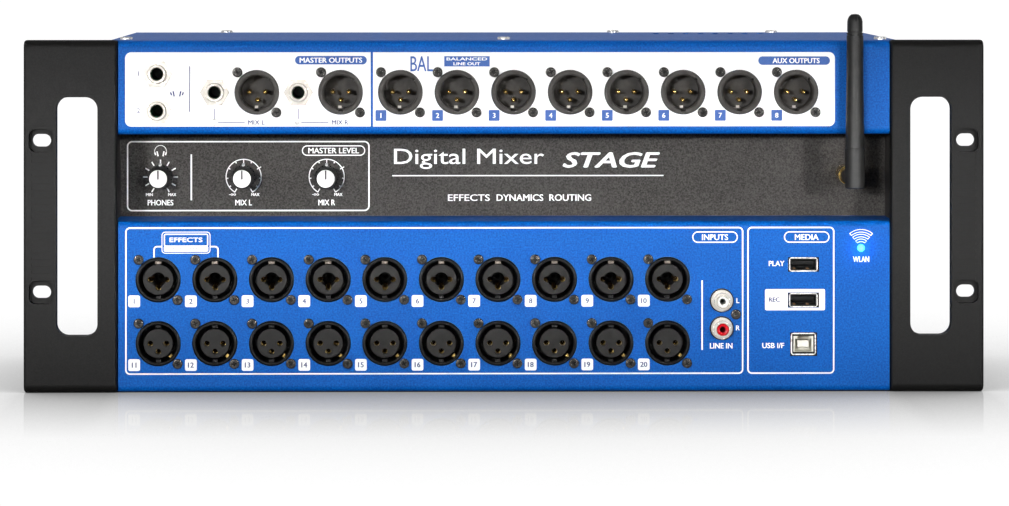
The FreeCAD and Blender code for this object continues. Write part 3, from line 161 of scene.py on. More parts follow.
class Finish(Graph):
    """A node material whose patterns lie in the object's own space, with feature sizes in millimetres."""

    def __init__(self, name, roughness, metallic=0.0, specular=0.5):
        self.material = bpy.data.materials.new(name)
        self.material.use_nodes = True
        super().__init__(self.material.node_tree)
        self.shader = self.tree.nodes["Principled BSDF"]
        self.shader.inputs["Roughness"].default_value = roughness
        self.shader.inputs["Metallic"].default_value = metallic
        self.shader.inputs["Specular IOR Level"].default_value = specular
        self.place = self.node("ShaderNodeTexCoord").outputs["Object"]

    def stretched(self, stretch):
        mapping = self.node("ShaderNodeMapping")
        self.feed(mapping.inputs["Vector"], self.place)
        mapping.inputs["Scale"].default_value = stretch
        return mapping.outputs["Vector"]

    def noise(self, size, detail=2.0, stretch=None):
        """A soft random pattern, 0 to 1, with features of about size millimetres."""
        texture = self.node("ShaderNodeTexNoise")
        self.feed(texture.inputs["Vector"], self.stretched(stretch) if stretch else self.place)
        texture.inputs["Scale"].default_value = 1.0 / (size * MM)
        texture.inputs["Detail"].default_value = detail
        return texture.outputs["Fac"]

    def cells(self, size):
        """Distance to the nearest of many scattered points, size millimetres apart."""
        texture = self.node("ShaderNodeTexVoronoi")
        self.feed(texture.inputs["Vector"], self.place)
        texture.inputs["Scale"].default_value = 1.0 / (size * MM)
        return texture.outputs["Distance"]

    def mixed(self, factor, first, second):
        node = self.node("ShaderNodeMix", data_type="RGBA")
        self.feed(node.inputs["Factor"], factor)
        self.feed(node.inputs[6], rgba(first))
        self.feed(node.inputs[7], rgba(second))
        return node.outputs[2]

    def colour(self, value):
        self.feed(self.shader.inputs["Base Color"], rgba(value))
        return self

    def roughness(self, value):
        self.feed(self.shader.inputs["Roughness"], value)
        return self

    def bump(self, height, depth):
        """Raises the surface by up to depth millimetres where height is 1."""
        node = self.node("ShaderNodeBump")
        node.inputs["Strength"].default_value = 1.0
        node.inputs["Distance"].default_value = depth * MM
        self.feed(node.inputs["Height"], height)
        self.feed(self.shader.inputs["Normal"], node.outputs["Normal"])
        return self

    def coat(self, weight, roughness):
        self.shader.inputs["Coat Weight"].default_value = weight
        self.shader.inputs["Coat Roughness"].default_value = roughness
        return self

    def glow(self, colour, strength):
        self.feed(self.shader.inputs["Emission Color"], rgba(colour))
        self.feed(self.shader.inputs["Emission Strength"], strength)
        return self


def rgba(value):
    """An output socket unchanged, or a linear colour with its alpha."""
    return value if isinstance(value, bpy.types.NodeSocket) else (*value, 1.0)


def powder_coat(name, dark, light, grain, peel, roughness, specular):
    """Textured paint on sheet metal: two-tone speckle, orange peel, uneven gloss."""
    finish = Finish(name, roughness, specular=specular)
    speckle = finish.levels(finish.noise(grain, 3.0), 0.0, 1.0, 0.34, 0.66)
    drift = finish.levels(finish.noise(45.0, 2.0), -0.12, 0.12)
    finish.colour(finish.mixed(finish.maths("ADD", speckle, drift, clamp=True), dark, light))
    finish.roughness(finish.levels(finish.noise(grain * 2.5), roughness - 0.06, roughness + 0.06))
    finish.bump(finish.noise(grain * 0.9, 2.0), peel)
    return finish.material


def moulded(name, dark, light, roughness, grain=0.35, depth=0.006, coat=0.0, specular=0.22):
    """Moulded plastic: fine spark-eroded grain and a slow change of tone."""
    finish = Finish(name, roughness, specular=specular)
    finish.colour(finish.mixed(finish.levels(finish.noise(4.0, 4.0), 0.0, 1.0), dark, light))
    finish.roughness(finish.levels(finish.noise(1.2, 3.0), roughness - 0.07, roughness + 0.07))
    finish.bump(finish.noise(grain, 2.0), depth)
    if coat:
        finish.coat(coat, 0.20)
    return finish.material


def plated(name, dark, light, roughness, grain=0.5, depth=0.002, stretch=None, mirror=0.45):
    """Plated metal with faint handling marks; mirror is the share of light it reflects sharply."""
    finish = Finish(name, roughness, metallic=mirror)
    marks = finish.noise(grain, 4.0, stretch)
    finish.colour(finish.mixed(finish.levels(marks, 0.0, 1.0), dark, light))
    finish.roughness(finish.levels(finish.noise(1.6, 3.0), roughness - 0.07, roughness + 0.09))
    finish.bump(marks, depth)
    return finish.material


def contact_gold():
    """Gold plate, with painted shade: dark where the input contacts lie deep in their holes."""
    finish = Finish("gold_plate", 0.2, metallic=1.0)
    marks = finish.noise(1.0, 3.0)
    bright = finish.mixed(finish.levels(marks, 0.0, 1.0), (0.70, 0.45, 0.13), (0.95, 0.68, 0.24))
    parts = finish.axes(finish.place)
    # Painted shade: the gold turns dark behind the input sockets' faces, where the contacts sit deep in their
    # holes.
    behind_face = finish.levels(parts["Y"], 0.0, 1.0, -1.0 * MM, 0.5 * MM)
    input_rows = finish.levels(parts["Z"], 1.0, 0.0, -10 * MM, 10 * MM)
    near_front = finish.levels(parts["Y"], 1.0, 0.0, 30 * MM, 40 * MM)
    painted_hole_shade = finish.maths("MULTIPLY", finish.maths("MULTIPLY", behind_face, input_rows), near_front)
    finish.colour(finish.mixed(painted_hole_shade, bright, (0.018, 0.010, 0.004)))
    finish.roughness(finish.levels(finish.noise(1.6, 3.0), 0.16, 0.28))
    finish.bump(marks, 0.0006)
    return finish.material


def lit_lamp():
    """Water-clear lens over a blue lamp: hot in the middle, deeper blue at the rim."""
    finish = Finish("lamp_blue_lens", 0.12)
    facing = finish.node("ShaderNodeLayerWeight")
    facing.inputs["Blend"].default_value = 0.35
    finish.colour(finish.mixed(finish.noise(0.4), (0.02, 0.35, 0.9), (0.10, 0.55, 1.0)))
    finish.glow(finish.mixed(facing.outputs["Facing"], (0.12, 0.72, 1.0), (0.0, 0.18, 1.0)), 2.2)
    return finish.material


def circuit_board():
    """Green solder mask over copper tracks."""
    finish = Finish("board_solder_mask", 0.35)
    tracks = finish.levels(finish.cells(3.0), 0.0, 1.0, 0.45, 0.55)
    finish.colour(finish.mixed(tracks, (0.010, 0.085, 0.028), (0.020, 0.140, 0.045)))
    finish.bump(tracks, 0.02)
    finish.coat(0.4, 0.2)
    return finish.material


def ink(name, colour, worn):
    """Screen-printed ink: even, slightly thinner in specks."""
    finish = Finish(name, 0.5)
    finish.colour(finish.mixed(finish.levels(finish.noise(0.7, 3.0), 0.0, 1.0, 0.25, 0.6), worn, colour))
    finish.roughness(finish.levels(finish.noise(1.5), 0.45, 0.56))
    finish.bump(finish.noise(0.5), 0.004)
    return finish.material


BLUE_DARK = (0.0002, 0.060, 0.285)
BLUE_LIGHT = (0.0010, 0.114, 0.465)

FINISHES = {
    "blue_paint": powder_coat("blue_powder_coat", BLUE_DARK, BLUE_LIGHT, 0.85, 0.030, 0.46, 0.12),
    "charcoal_paint": powder_coat("charcoal_powder_coat", (0.020, 0.0181, 0.0162), (0.066, 0.0612, 0.0564),
                                  0.70, 0.030, 0.60, 0.16),
    "ear_finish": powder_coat("ear_powder_coat", (0.0030, 0.0029, 0.0027), (0.0080, 0.0077, 0.0072),
                              0.60, 0.025, 0.52, 0.17),
    "bright_screw": plated("bright_zinc", (0.74, 0.72, 0.68), (0.86, 0.85, 0.81), 0.28, 1.5, 0.0006),
    "black_screw": plated("black_zinc", (0.060, 0.057, 0.054), (0.085, 0.081, 0.077), 0.22, 2.5, 0.0002,
                          mirror=0.8),
    "warm_grey_shell": moulded("warm_grey_die_cast", (0.036, 0.033, 0.030), (0.054, 0.050, 0.046), 0.50),
    "black_shell": moulded("gloss_black_shell", (0.003, 0.003, 0.003), (0.006, 0.006, 0.006), 0.34),
    "dark_insert": moulded("dark_grey_insert", (0.010, 0.0096, 0.0092), (0.016, 0.0154, 0.0147), 0.42,
                           specular=0.16),
    "gold_contact": contact_gold(),
    "nickel": plated("nickel_plate", (0.80, 0.75, 0.66), (0.90, 0.86, 0.79), 0.20, 1.5, 0.0008, mirror=0.55),
    "white_plastic": moulded("white_plastic", (0.72, 0.71, 0.67), (0.84, 0.83, 0.79), 0.35, coat=0.3),
    "red_plastic": moulded("red_plastic", (0.50, 0.002, 0.008), (0.66, 0.005, 0.016), 0.32, coat=0.3),
    "port_steel": plated("tinned_steel", (0.80, 0.77, 0.71), (0.92, 0.90, 0.86), 0.28, 1.2, 0.0008,
                         stretch=(1, 6, 1)),
    "cream_plastic": moulded("cream_plastic", (0.70, 0.67, 0.58), (0.82, 0.80, 0.72), 0.40),
    "black_plastic": moulded("black_plastic", (0.003, 0.003, 0.003), (0.007, 0.007, 0.007), 0.36,
                             specular=0.12),
    "lamp_blue": lit_lamp(),
    "knob_plastic": moulded("soft_black_knob", (0.003, 0.003, 0.003), (0.006, 0.006, 0.006), 0.45,
                            specular=0.12),
    "knob_cap_plastic": moulded("white_knob_cap", (0.76, 0.75, 0.72), (0.88, 0.87, 0.84), 0.38, coat=0.2),
    "latch_steel": plated("latch_nickel", (0.24, 0.20, 0.17), (0.40, 0.35, 0.30), 0.25, 1.0, 0.0008),
    "latch_black": moulded("latch_black", (0.008, 0.008, 0.008), (0.018, 0.018, 0.017), 0.32),
    "antenna_plastic": moulded("antenna_sleeve", (0.009, 0.009, 0.0085), (0.017, 0.0165, 0.016), 0.44,
                               0.4, 0.012, specular=0.35),
    "board_green": circuit_board(),
    "supply_metal": plated("supply_zinc", (0.45, 0.46, 0.47), (0.68, 0.69, 0.70), 0.36, 8.0, 0.01),
    "cable_grey": moulded("cable_sheath", (0.10, 0.10, 0.105), (0.16, 0.16, 0.165), 0.5),
}
WHITE_INK = ink("white_ink", (0.90, 0.90, 0.88), (0.86, 0.86, 0.85))
BLUE_INK = ink("blue_ink", (0.006, 0.072, 0.310), (0.010, 0.088, 0.350))
NAVY_INK = ink("navy_ink", (0.022, 0.030, 0.130), (0.030, 0.042, 0.160))
DARK_INK = ink("dark_ink", (0.035, 0.034, 0.036), (0.06, 0.058, 0.06))


def finish_frame():
    """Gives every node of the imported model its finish, by the slot name it was packed with."""
    for cad in nodes.values():
        for place in cad.material_slots:
            place.material = FINISHES[place.material.name.split(".")[0]]


finish_frame()


# ---------------------------------------------------------------- outlines, in millimetres
def turned_point(centre, radius, degrees):
    """A point at a clock angle: 0 is straight up, 90 to the right."""
    angle = math.radians(degrees)
    return centre[0] + radius * math.sin(angle), centre[1] + radius * math.cos(angle)


def circle(centre, radius, steps=48):
    return [turned_point(centre, radius, 360 * n / steps) for n in range(steps)]


def rectangle(left, low, right, high):
    return [(left, low), (right, low), (right, high), (left, high)]


def rounded(left, low, right, high, radius, steps=8):
    """A rectangle with round corners."""
    corners = [((right - radius, high - radius), 0), ((right - radius, low + radius), 90),
               ((left + radius, low + radius), 180), ((left + radius, high - radius), 270)]
    points = []
    for centre, start in corners:
        points += [turned_point(centre, radius, start + 90 * n / steps) for n in range(steps + 1)]
    return points


def frame_line(left, low, right, high, radius, line):
    """The outline of a rounded box, drawn with a line of the given width."""
    half = line / 2
    return [rounded(left - half, low - half, right + half, high + half, radius + half),
            rounded(left + half, low + half, right - half, high - half, max(radius - half, 0.05))]


def pill(left, low, right, high):
    return rounded(left, low, right, high, (high - low) / 2 - 0.01, 10)


def bar(start, end, line):
    """A straight stroke."""
    run = Vector((end[0] - start[0], end[1] - start[1]))
    side = Vector((-run.y, run.x)).normalized() * line / 2
    return [(start[0] + side.x, start[1] + side.y), (end[0] + side.x, end[1] + side.y),
            (end[0] - side.x, end[1] - side.y), (start[0] - side.x, start[1] - side.y)]


def arc_band(centre, radius, line, start, end, steps=40):
    """A stroke along an arc between two clock angles."""
    turns = [start + (end - start) * n / steps for n in range(steps + 1)]
    outer = [turned_point(centre, radius + line / 2, a) for a in turns]
    inner = [turned_point(centre, radius - line / 2, a) for a in reversed(turns)]
    return outer + inner


# ---------------------------------------------------------------- ink
class Print:
    """Ink on a face that looks towards -Y: outlines and lettering, THICKNESS millimetres to a layer."""

    THICKNESS = 0.024
    COPY_STEP = 0.08

    def __init__(self, name, face, material):
        self.name = name
        self.face = face
        self.material = material
        self.mesh = bmesh.new()

    def stamp(self, curve, layer, shape=None):
        """Fills a flat curve, shapes it in its own plane and adds it to the print at a layer of ink."""
        curve.dimensions = "2D"
        curve.fill_mode = "BOTH"
        holder = bpy.data.objects.new("stamp", curve)
        flat = bpy.data.meshes.new_from_object(holder)
        if shape:
            shape(flat)
        height = self.THICKNESS * (layer + 0.5)
        upright = Matrix(((1, 0, 0, 0), (0, 0, -1, self.face - height), (0, 1, 0, 0), (0, 0, 0, 1)))
        flat.transform(Matrix.Scale(MM, 4) @ upright)
        self.mesh.from_mesh(flat)
        bpy.data.meshes.remove(flat)
        bpy.data.objects.remove(holder)
        bpy.data.curves.remove(curve)

    def fill(self, loops, layer=0):
        """A filled area; a loop inside another is a hole."""
        curve = bpy.data.curves.new("outline", "CURVE")
        curve.extrude = self.THICKNESS / 2
        curve.dimensions = "2D"
        for loop in loops:
            spline = curve.splines.new("POLY")
            spline.points.add(len(loop) - 1)
            for point, (across, up) in zip(spline.points, loop):
                point.co = (across, up, 0.0, 1.0)
            spline.use_cyclic_u = True
        self.stamp(curve, layer)

    def word(self, text, centre, height, width=None, weight=0.0, slant=0.0, layer=0):
        """Built-in lettering of a given height and width; weight, in millimetres, thickens its strokes."""
        shifts = ((-1, 0), (1, 0), (0, -0.4), (0, 0.4)) if weight else ((0, 0),)
        for count, (shift_across, shift_up) in enumerate(shifts):
            curve = bpy.data.curves.new("word", "FONT")
            curve.body = text
            curve.resolution_u = 3
            curve.shear = slant
            curve.extrude = self.THICKNESS / 2

            def fitted(flat):
                points = [v.co for v in flat.vertices]
                left, right = min(p.x for p in points), max(p.x for p in points)
                low, high = min(p.y for p in points), max(p.y for p in points)
                tall = (height - 0.8 * weight) / (high - low)
                wide = (width - 2 * weight) / (right - left) if width else tall
                across = centre[0] + weight * shift_across
                up = centre[1] + weight * shift_up
                for point in points:
                    point.x = across + (point.x - (left + right) / 2) * wide
                    point.y = up + (point.y - (low + high) / 2) * tall

            self.stamp(curve, layer + count * self.COPY_STEP, fitted)

    def place(self, body, slot):
        add_piece(self.name, self.mesh, self.material, body)


def add_piece(name, mesh, material, body):
    """Makes a piece of a working mesh; it rides on a body and wears the given material."""
    data = bpy.data.meshes.new(name)
    mesh.to_mesh(data)
    mesh.free()
    data.materials.append(material)
    piece = bpy.data.objects.new(name, data)
    bpy.context.scene.collection.objects.link(piece)
    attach(piece, body)


LINE = 0.72
THIN = 0.5
BOLD = 0.09
RING_HOLE = 11.3
JACK_HOLE = 4.9
SCREW_HOLE = 2.1
SCREW_OFFSET = (9.75, 10.1)


def screw_holes(centre):
    across, up = SCREW_OFFSET
    return [circle((centre[0] - across, centre[1] + up), SCREW_HOLE, 20),
            circle((centre[0] + across, centre[1] - up), SCREW_HOLE, 20)]


def headphones(sheet, centre, size, layer=0, band=0.1):
    """A headband over two pairs of tilted pads."""
    sheet.fill([arc_band(centre, size, size * band, -95, 95)], layer)
    for sign in (-1, 1):
        for reach, rise, length in ((1.0, -0.16, 0.50), (0.60, 0.0, 0.84)):
            top = (centre[0] + sign * size * reach, centre[1] + size * rise)
            foot = (centre[0] + sign * size * (reach - 0.18), centre[1] + size * (rise - length))
            sheet.fill([bar(top, foot, size * 0.24)], layer)


def badge(sheet, middle, side, radius, steps, layer=0):
    """A square with round corners."""
    left, low = middle[0] - side / 2, middle[1] - side / 2
    sheet.fill([rounded(left, low, left + side, low + side, radius, steps)], layer)


def badge_numbers(white, blue, navy):
    """Numbered squares beside the sockets: blue on the outputs' white field, white on the blue paint."""
    output_badge, input_badge = 5.5, 5.9
    for n, across in enumerate(AUX_OUTPUTS):
        middle = (across - 9.75, OUTPUT_ROW - 11.65)
        badge(blue, middle, output_badge, 0.5, 3, 1)
        white.word(str(n + 1), middle, 2.5, weight=BOLD, layer=2)
    for row, up in enumerate((COMBO_ROW, MIC_ROW)):
        for n, across in enumerate(INPUTS):
            middle = (across - 12.0, up - 10.75)
            badge(white, middle, input_badge, 0.95, 4)
            navy.word(str(row * 10 + n + 1), middle, 2.6, weight=0.10, layer=1)


def output_section(white, blue, navy):
    """White field with the output legends."""
    left, low, right, high = -190.5, 45.1, 166.4, 82.4
    divider = -66.65
    columns = ((left, divider - 0.6, True, False), (divider + 0.6, right, False, True))
    sockets = [LEFT_MASTER, RIGHT_MASTER] + AUX_OUTPUTS
    jacks = PHONES_JACKS + [(x, OUTPUT_ROW) for x in MIX_JACKS]
    for start, end, round_left, round_right in columns:
        loops = [half_rounded(start, low, end, high, 3.0, round_left, round_right)]
        for across in sockets:
            if start < across < end:
                loops.append(circle((across, OUTPUT_ROW), RING_HOLE))
                loops += screw_holes((across, OUTPUT_ROW))
        loops += [circle(jack, JACK_HOLE, 32) for jack in jacks if start < jack[0] < end]
        white.fill(loops)
    navy.fill([bar((-158.1, 52.4), (-158.1, 75.4), THIN)], 1)
    for jack, number in zip(PHONES_JACKS, ("1", "2")):
        navy.word(number, (jack[0] - 9.3, jack[1] + 0.2), 2.3, weight=0.05, layer=1)
    headphones(navy, (-164.5, 62.9), 3.25, 1, 0.03)
    for across, text in zip(MIX_JACKS, ("MIX L", "MIX R")):
        foot = OUTPUT_ROW - 15.1
        navy.fill([bar((across, OUTPUT_ROW - 8.2), (across, foot + 1.7), THIN * 0.8)], 1)
        navy.fill([bar((across + 1.7, foot), (across + 15.2, foot), THIN * 0.8)], 1)
        navy.word(text, (across + 21.0, foot), 2.3, width=8.4, weight=BOLD, layer=1)
    for left_end, right_end, up, text, width in ((-105.2, -69.2, 78.4, "MASTER OUTPUTS", 31.5),
                                                 (127.8, 163.9, 78.1, "AUX OUTPUTS", 23.8)):
        blue.fill([pill(left_end, up - 2.15, right_end, up + 2.15)], 1)
        middle = (left_end + right_end) / 2 + (1.0 if text == "AUX OUTPUTS" else 0.0)
        white.word(text, (middle, up), 2.6, width=width, weight=0.10, layer=2)
    blue.word("BAL", (-41.6, 76.6), 7.6, width=11.4, weight=0.08, layer=1)
    blue.fill([rectangle(-30.3, 75.2, -7.4, 80.4)], 1)
    white.word("BALANCED", (-18.9, 79.0), 1.5, width=20.5, weight=BOLD, layer=2)
    white.word("LINE OUT", (-18.9, 76.6), 1.5, width=13.5, weight=BOLD, layer=2)


def half_rounded(left, low, right, high, radius, round_left, round_right):
    """A rectangle with its left or right pair of corners rounded."""
    soft = rounded(left, low, right, high, radius)
    count = len(soft) // 4
    top_right, low_right, low_left, top_left = (soft[n * count:(n + 1) * count] for n in range(4))
    if not round_right:
        top_right, low_right = [(right, high)], [(right, low)]
    if not round_left:
        low_left, top_left = [(left, low)], [(left, high)]
    return top_right + low_right + low_left + top_left


def input_section(white, blue, navy):
    """Boxes, tags and labels of the lower face."""
    white.fill(frame_line(-190.1, -79.2, 119.9, -5.9, 2.0, LINE))
    white.fill(frame_line(122.6, -79.2, 165.8, -5.9, 2.0, LINE))
    white.fill(frame_line(94.8, -13.3, 117.2, -8.1, 2.55, LINE * 0.75))
    white.fill(frame_line(141.0, -13.3, 163.4, -8.1, 2.55, LINE * 0.75))
    white.word("INPUTS", (106.0, -10.75), 2.9, width=13.2, weight=BOLD)
    white.word("MEDIA", (152.2, -10.75), 2.9, width=12.0, weight=BOLD)
    effects_tag(white, blue)
    white.fill([bar((99.5, -32.5), (99.5, -67.4), LINE)])
    white.word("LINE IN", (109.1, -65.4), 2.7, width=11.4, weight=BOLD)
    white.word("L", (117.5, -42.7), 2.4, weight=BOLD)
    white.word("R", (117.5, -56.4), 2.4, weight=BOLD)
    white.word("PLAY", (137.0, -24.0), 2.6, width=7.9, weight=BOLD)
    white.word("USB I/F", (135.3, -65.3), 2.7, width=11.1, weight=BOLD)
    record_label(white, navy)
    signal_fan(white)
    white.word("WLAN", (LAMP[0], LAMP[1] - 5.6), 2.8, width=8.2, weight=BOLD)


def effects_tag(white, blue):
    """A small box bracketed to the first two inputs."""
    left, right, high, low = -172.0, -147.9, -7.9, -18.5
    middle = (left + right) / 2
    white.fill(frame_line(left, low, right, high, 1.6, 0.35))
    white.fill(frame_line(left + 1.2, low + 3.6, right - 1.2, high - 1.1, 0.7, 0.6))
    white.fill([rounded(left + 0.9, low + 0.8, right - 0.9, low + 3.5, 0.6, 4)])
    white.word("EFFECTS", (middle, high - 3.9), 2.3, width=16.5, weight=BOLD)
    for n in range(7):
        blue.fill([circle((left + 9.4 + 1.6 * n, low + 2.2), 0.28, 12)], 1)
    blue.fill([circle((left + 5.8, low + 2.2), 0.3, 12)], 1)
    foot = COMBO_ROW + RING_HOLE
    for sign, end in ((-1, left), (1, right)):
        post = end + sign * 4.0
        elbow = (post - sign * 1.6, high - 7.3 - 1.6)
        start = -90 if sign < 0 else 0
        white.fill([bar((end - sign * 0.1, high - 7.3), (elbow[0] - sign * 0.05, high - 7.3), LINE)])
        white.fill([arc_band(elbow, 1.6, LINE, start, start + 90, 10)])
        reach = math.sqrt(max(RING_HOLE ** 2 - (post - nearest(INPUTS, post)) ** 2, 0.0))
        white.fill([bar((post, elbow[1] + 0.05), (post, COMBO_ROW + reach + 0.1), LINE)])


def nearest(values, value):
    return min(values, key=lambda other: abs(other - value))


def record_label(white, navy):
    """A white panel round the recording port, with the port's opening left clear."""
    port_low, port_high = span("usb_shells")
    across = (port_low.x + port_high.x) / 2
    up = USB_HOSTS[1]
    white.fill([rounded(131.2, -47.6, 161.4, -36.9, 0.8, 4),
                rectangle(across - 7.85, up - 3.85, across + 7.85, up + 3.85)])
    navy.word("REC", (135.9, -42.2), 2.3, width=5.6, weight=0.12, layer=1)


def signal_fan(white):
    """Three nested arcs opening upward over the lamp."""
    foot = (LAMP[0], LAMP[1] + 0.2)
    half_angle = 40.0
    for radius in (9.3, 6.9, 4.5):
        inner = radius - 1.6
        band = arc_band(foot, (radius + inner) / 2, radius - inner, -half_angle, half_angle, 16)
        trimmed = half_angle - 2.4
        inset = arc_band(foot, (radius + inner) / 2, radius - inner - 0.6, -trimmed, trimmed, 16)
        white.fill([band, inset])


def control_legends():
    """White ink on the control panel."""
    white = Print("control_panel_print", CONTROL_FACE, WHITE_INK)
    white.fill(frame_line(-192.4, 0.2, -68.8, 35.5, 2.4, LINE))
    white.fill(frame_line(-102.9, 28.5, -71.0, 33.3, 2.35, LINE * 0.75))
    white.word("MASTER LEVEL", (-86.9, 30.9), 2.9, width=26.0, weight=BOLD)
    white.fill([bar((-159.8, 5.5), (-159.8, 29.0), LINE * 1.1)])
    phones = KNOBS["phones"]
    headphones(white, (phones[0], 30.6), 3.0)
    for n in range(11):
        turn = -150 + 30 * n
        white.fill([bar(turned_point(phones, 6.6, turn), turned_point(phones, 8.9, turn), LINE * 0.9)])
    for name, text in (("phones", "PHONES"), ("mix_left", "MIX L"), ("mix_right", "MIX R")):
        centre = KNOBS[name]
        white.word(text, (centre[0], 4.3), 2.9, width=13.2 if name == "phones" else 8.6, weight=BOLD)
        low_text = "MIN" if name == "phones" else "-oo"
        white.word(low_text, (centre[0] - 5.7, 8.4), 1.5 if name == "phones" else 1.1, width=3.6, weight=0.07)
        white.word("MAX", (centre[0] + 6.0, 8.4), 1.5, width=4.2, weight=0.07)
    for name in ("mix_left", "mix_right"):
        centre = KNOBS[name]
        radius = 9.0
        white.fill([arc_band(centre, radius, THIN, -150, 150, 72)])
        for turn in (-150, -125, -95, -60, -28, 0, 28, 60, 95, 125, 150):
            start = radius - (2.0 if turn in (-150, 0, 150) else 1.1)
            end = radius + (1.3 if turn == 60 else 0.2)
            white.fill([bar(turned_point(centre, start, turn), turned_point(centre, end, turn), THIN)])
    white.word("Digital Mixer", (-17.5, 26.6), 10.4, width=77.0, weight=0.05)
    white.word("STAGE", (55.5, 26.0), 8.0, width=50.0, weight=0.45, slant=0.25)
    white.fill([bar((-56.9, 18.0), (82.3, 18.0), 0.62)])
    for text, across, width in (("EFFECTS", -17.6, 21.5), ("DYNAMICS", 8.6, 24.0), ("ROUTING", 34.4, 21.5)):
        white.word(text, (across, 6.7), 3.4, width=width, weight=BOLD)
    white.place("case", "charcoal_paint")


def front_legends():
    white = Print("front_white_print", FRONT_FACE, WHITE_INK)
    blue = Print("front_blue_print", FRONT_FACE, BLUE_INK)
    navy = Print("front_navy_print", FRONT_FACE, NAVY_INK)
    output_section(white, blue, navy)
    input_section(white, blue, navy)
    badge_numbers(white, blue, navy)
    for sheet in (white, blue, navy):
        sheet.place("case", "blue_paint")


control_legends()
front_legends()


# ---------------------------------------------------------------- small turned and flat pieces
def new_piece(name, mesh, material, body):
    bmesh.ops.recalc_face_normals(mesh, faces=mesh.faces)
    add_piece(name, mesh, material, body)


def turned_along_y(mesh, centre, profile, steps=48):
    """Adds a closed profile of (radius, depth) points, turned about an axis along Y."""
    rings = []
    for n in range(steps):
        angle = 2 * math.pi * n / steps
        rings.append([mesh.verts.new(Vector((centre[0] + radius * math.sin(angle), depth,
                                             centre[1] + radius * math.cos(angle))) * MM)
                      for radius, depth in profile])
    for n in range(steps):
        here, after = rings[n], rings[(n + 1) % steps]
        for k in range(len(profile)):
            next_k = (k + 1) % len(profile)
            mesh.faces.new((here[k], here[next_k], after[next_k], after[k])).smooth = True


def jack_liners():
    """Green ribbed sleeves inside the quarter-inch sockets."""
    finish = Finish("jack_liner_green", 0.3)
    ribs = finish.levels(finish.noise(1.5), 0.0, 1.0)
    finish.colour(finish.mixed(ribs, (0.002, 0.022, 0.010), (0.005, 0.042, 0.018)))
    finish.bump(finish.noise(0.4), 0.01)
    finish.coat(0.5, 0.15)
    outer, bore, start, end, pitch = 3.24, 3.16, -6.4, 21.0, 2.2
    profile = [(outer, start), (outer, end)]
    depth = end
    while depth > start + pitch:
        profile += [(bore, depth - 0.2), (bore, depth - pitch * 0.5), (bore - 0.22, depth - pitch * 0.6),
                    (bore - 0.22, depth - pitch * 0.85)]
        depth -= pitch
    profile.append((bore, start))
    mesh = bmesh.new()
    for centre in PHONES_JACKS + [(x, OUTPUT_ROW) for x in MIX_JACKS]:
        turned_along_y(mesh, centre, profile)
    new_piece("jack_liners", mesh, finish.material, "case")


def knob_pointers():
    """A dark inlaid line on each cap and a white tick on each skirt."""
    for name, body in (("phones", "phones_control"), ("mix_left", "mix_left_control"),
                       ("mix_right", "mix_right_control")):
        centre = KNOBS[name]
        cap_low, cap_high = span(f"{name}_knob_cap")
        cap_radius = (cap_high.x - cap_low.x) / 2
        line = Print(f"{name}_pointer", cap_low.y, DARK_INK)
        half, top = 0.42, centre[1] + cap_radius - 0.15
        line.fill([rounded(centre[0] - half, centre[1] - 0.3, centre[0] + half, top, 0.35, 4)])
        line.place(body, "knob_plastic")
        tick = bmesh.new()
        ridge = ((5.6, 31.0), (5.8, 35.1), (6.85, 35.1), (6.35, 31.0))
        prism(tick, [(centre[1] + radius, depth) for radius, depth in ridge], centre[0], 0.7)
        new_piece(f"{name}_skirt_tick", tick, WHITE_INK, body)


def prism(mesh, outline, across, half_width):
    """Adds a solid with an (up, depth) outline, extruded along X about a middle plane."""
    sides = [[mesh.verts.new(Vector((across + sign * half_width, depth, up)) * MM) for up, depth in outline]
             for sign in (-1, 1)]
    mesh.faces.new(sides[0])
    mesh.faces.new(sides[1])
    for k in range(len(outline)):
        after = (k + 1) % len(outline)
        mesh.faces.new((sides[0][k], sides[0][after], sides[1][after], sides[1][k]))


def ground_tabs():
    """A folded contact strip low in the bore of every output socket."""
    mesh = bmesh.new()
    low, high, start, fold, end = -8.15, -6.95, 1.2, 0.35, 9.0
    outline = ((low, start), (high, start), (high, start + fold), (low + fold, start + fold),
               (low + fold, end), (low, end))
    for across in [LEFT_MASTER, RIGHT_MASTER] + AUX_OUTPUTS:
        prism(mesh, [(OUTPUT_ROW + up, depth) for up, depth in outline], across - 0.5, 0.85)
    new_piece("output_ground_tabs", mesh, FINISHES["nickel"], "case")


def bore_stops():
    """Closed ends inside the jack bores of the combined inputs."""
    axis, radius, front, back = 0.05, 3.3, 16.4, 17.4
    mesh = bmesh.new()
    for across in INPUTS:
        disc = [(axis, front), (radius, front), (radius, back), (axis, back)]
        turned_along_y(mesh, (across, COMBO_ROW), disc, 24)
    new_piece("combo_bore_stops", mesh, FINISHES["black_plastic"], "case")


def box_tube(mesh, centre, half_width, half_height, wall, front, back):
    """Adds a square-cornered tube along Y."""
    rings = []
    for depth in (front, back):
        for inset in (0.0, wall):
            wide, tall = half_width - inset, half_height - inset
            rings.append([mesh.verts.new(Vector((centre[0] + x * wide, depth, centre[1] + z * tall)) * MM)
                          for x, z in ((-1, -1), (1, -1), (1, 1), (-1, 1))])
    outer_front, inner_front, outer_back, inner_back = rings
    for first, second in ((outer_front, inner_front), (inner_front, inner_back),
                          (inner_back, outer_back), (outer_back, outer_front)):
        for k in range(4):
            mesh.faces.new((first[k], first[(k + 1) % 4], second[(k + 1) % 4], second[k]))


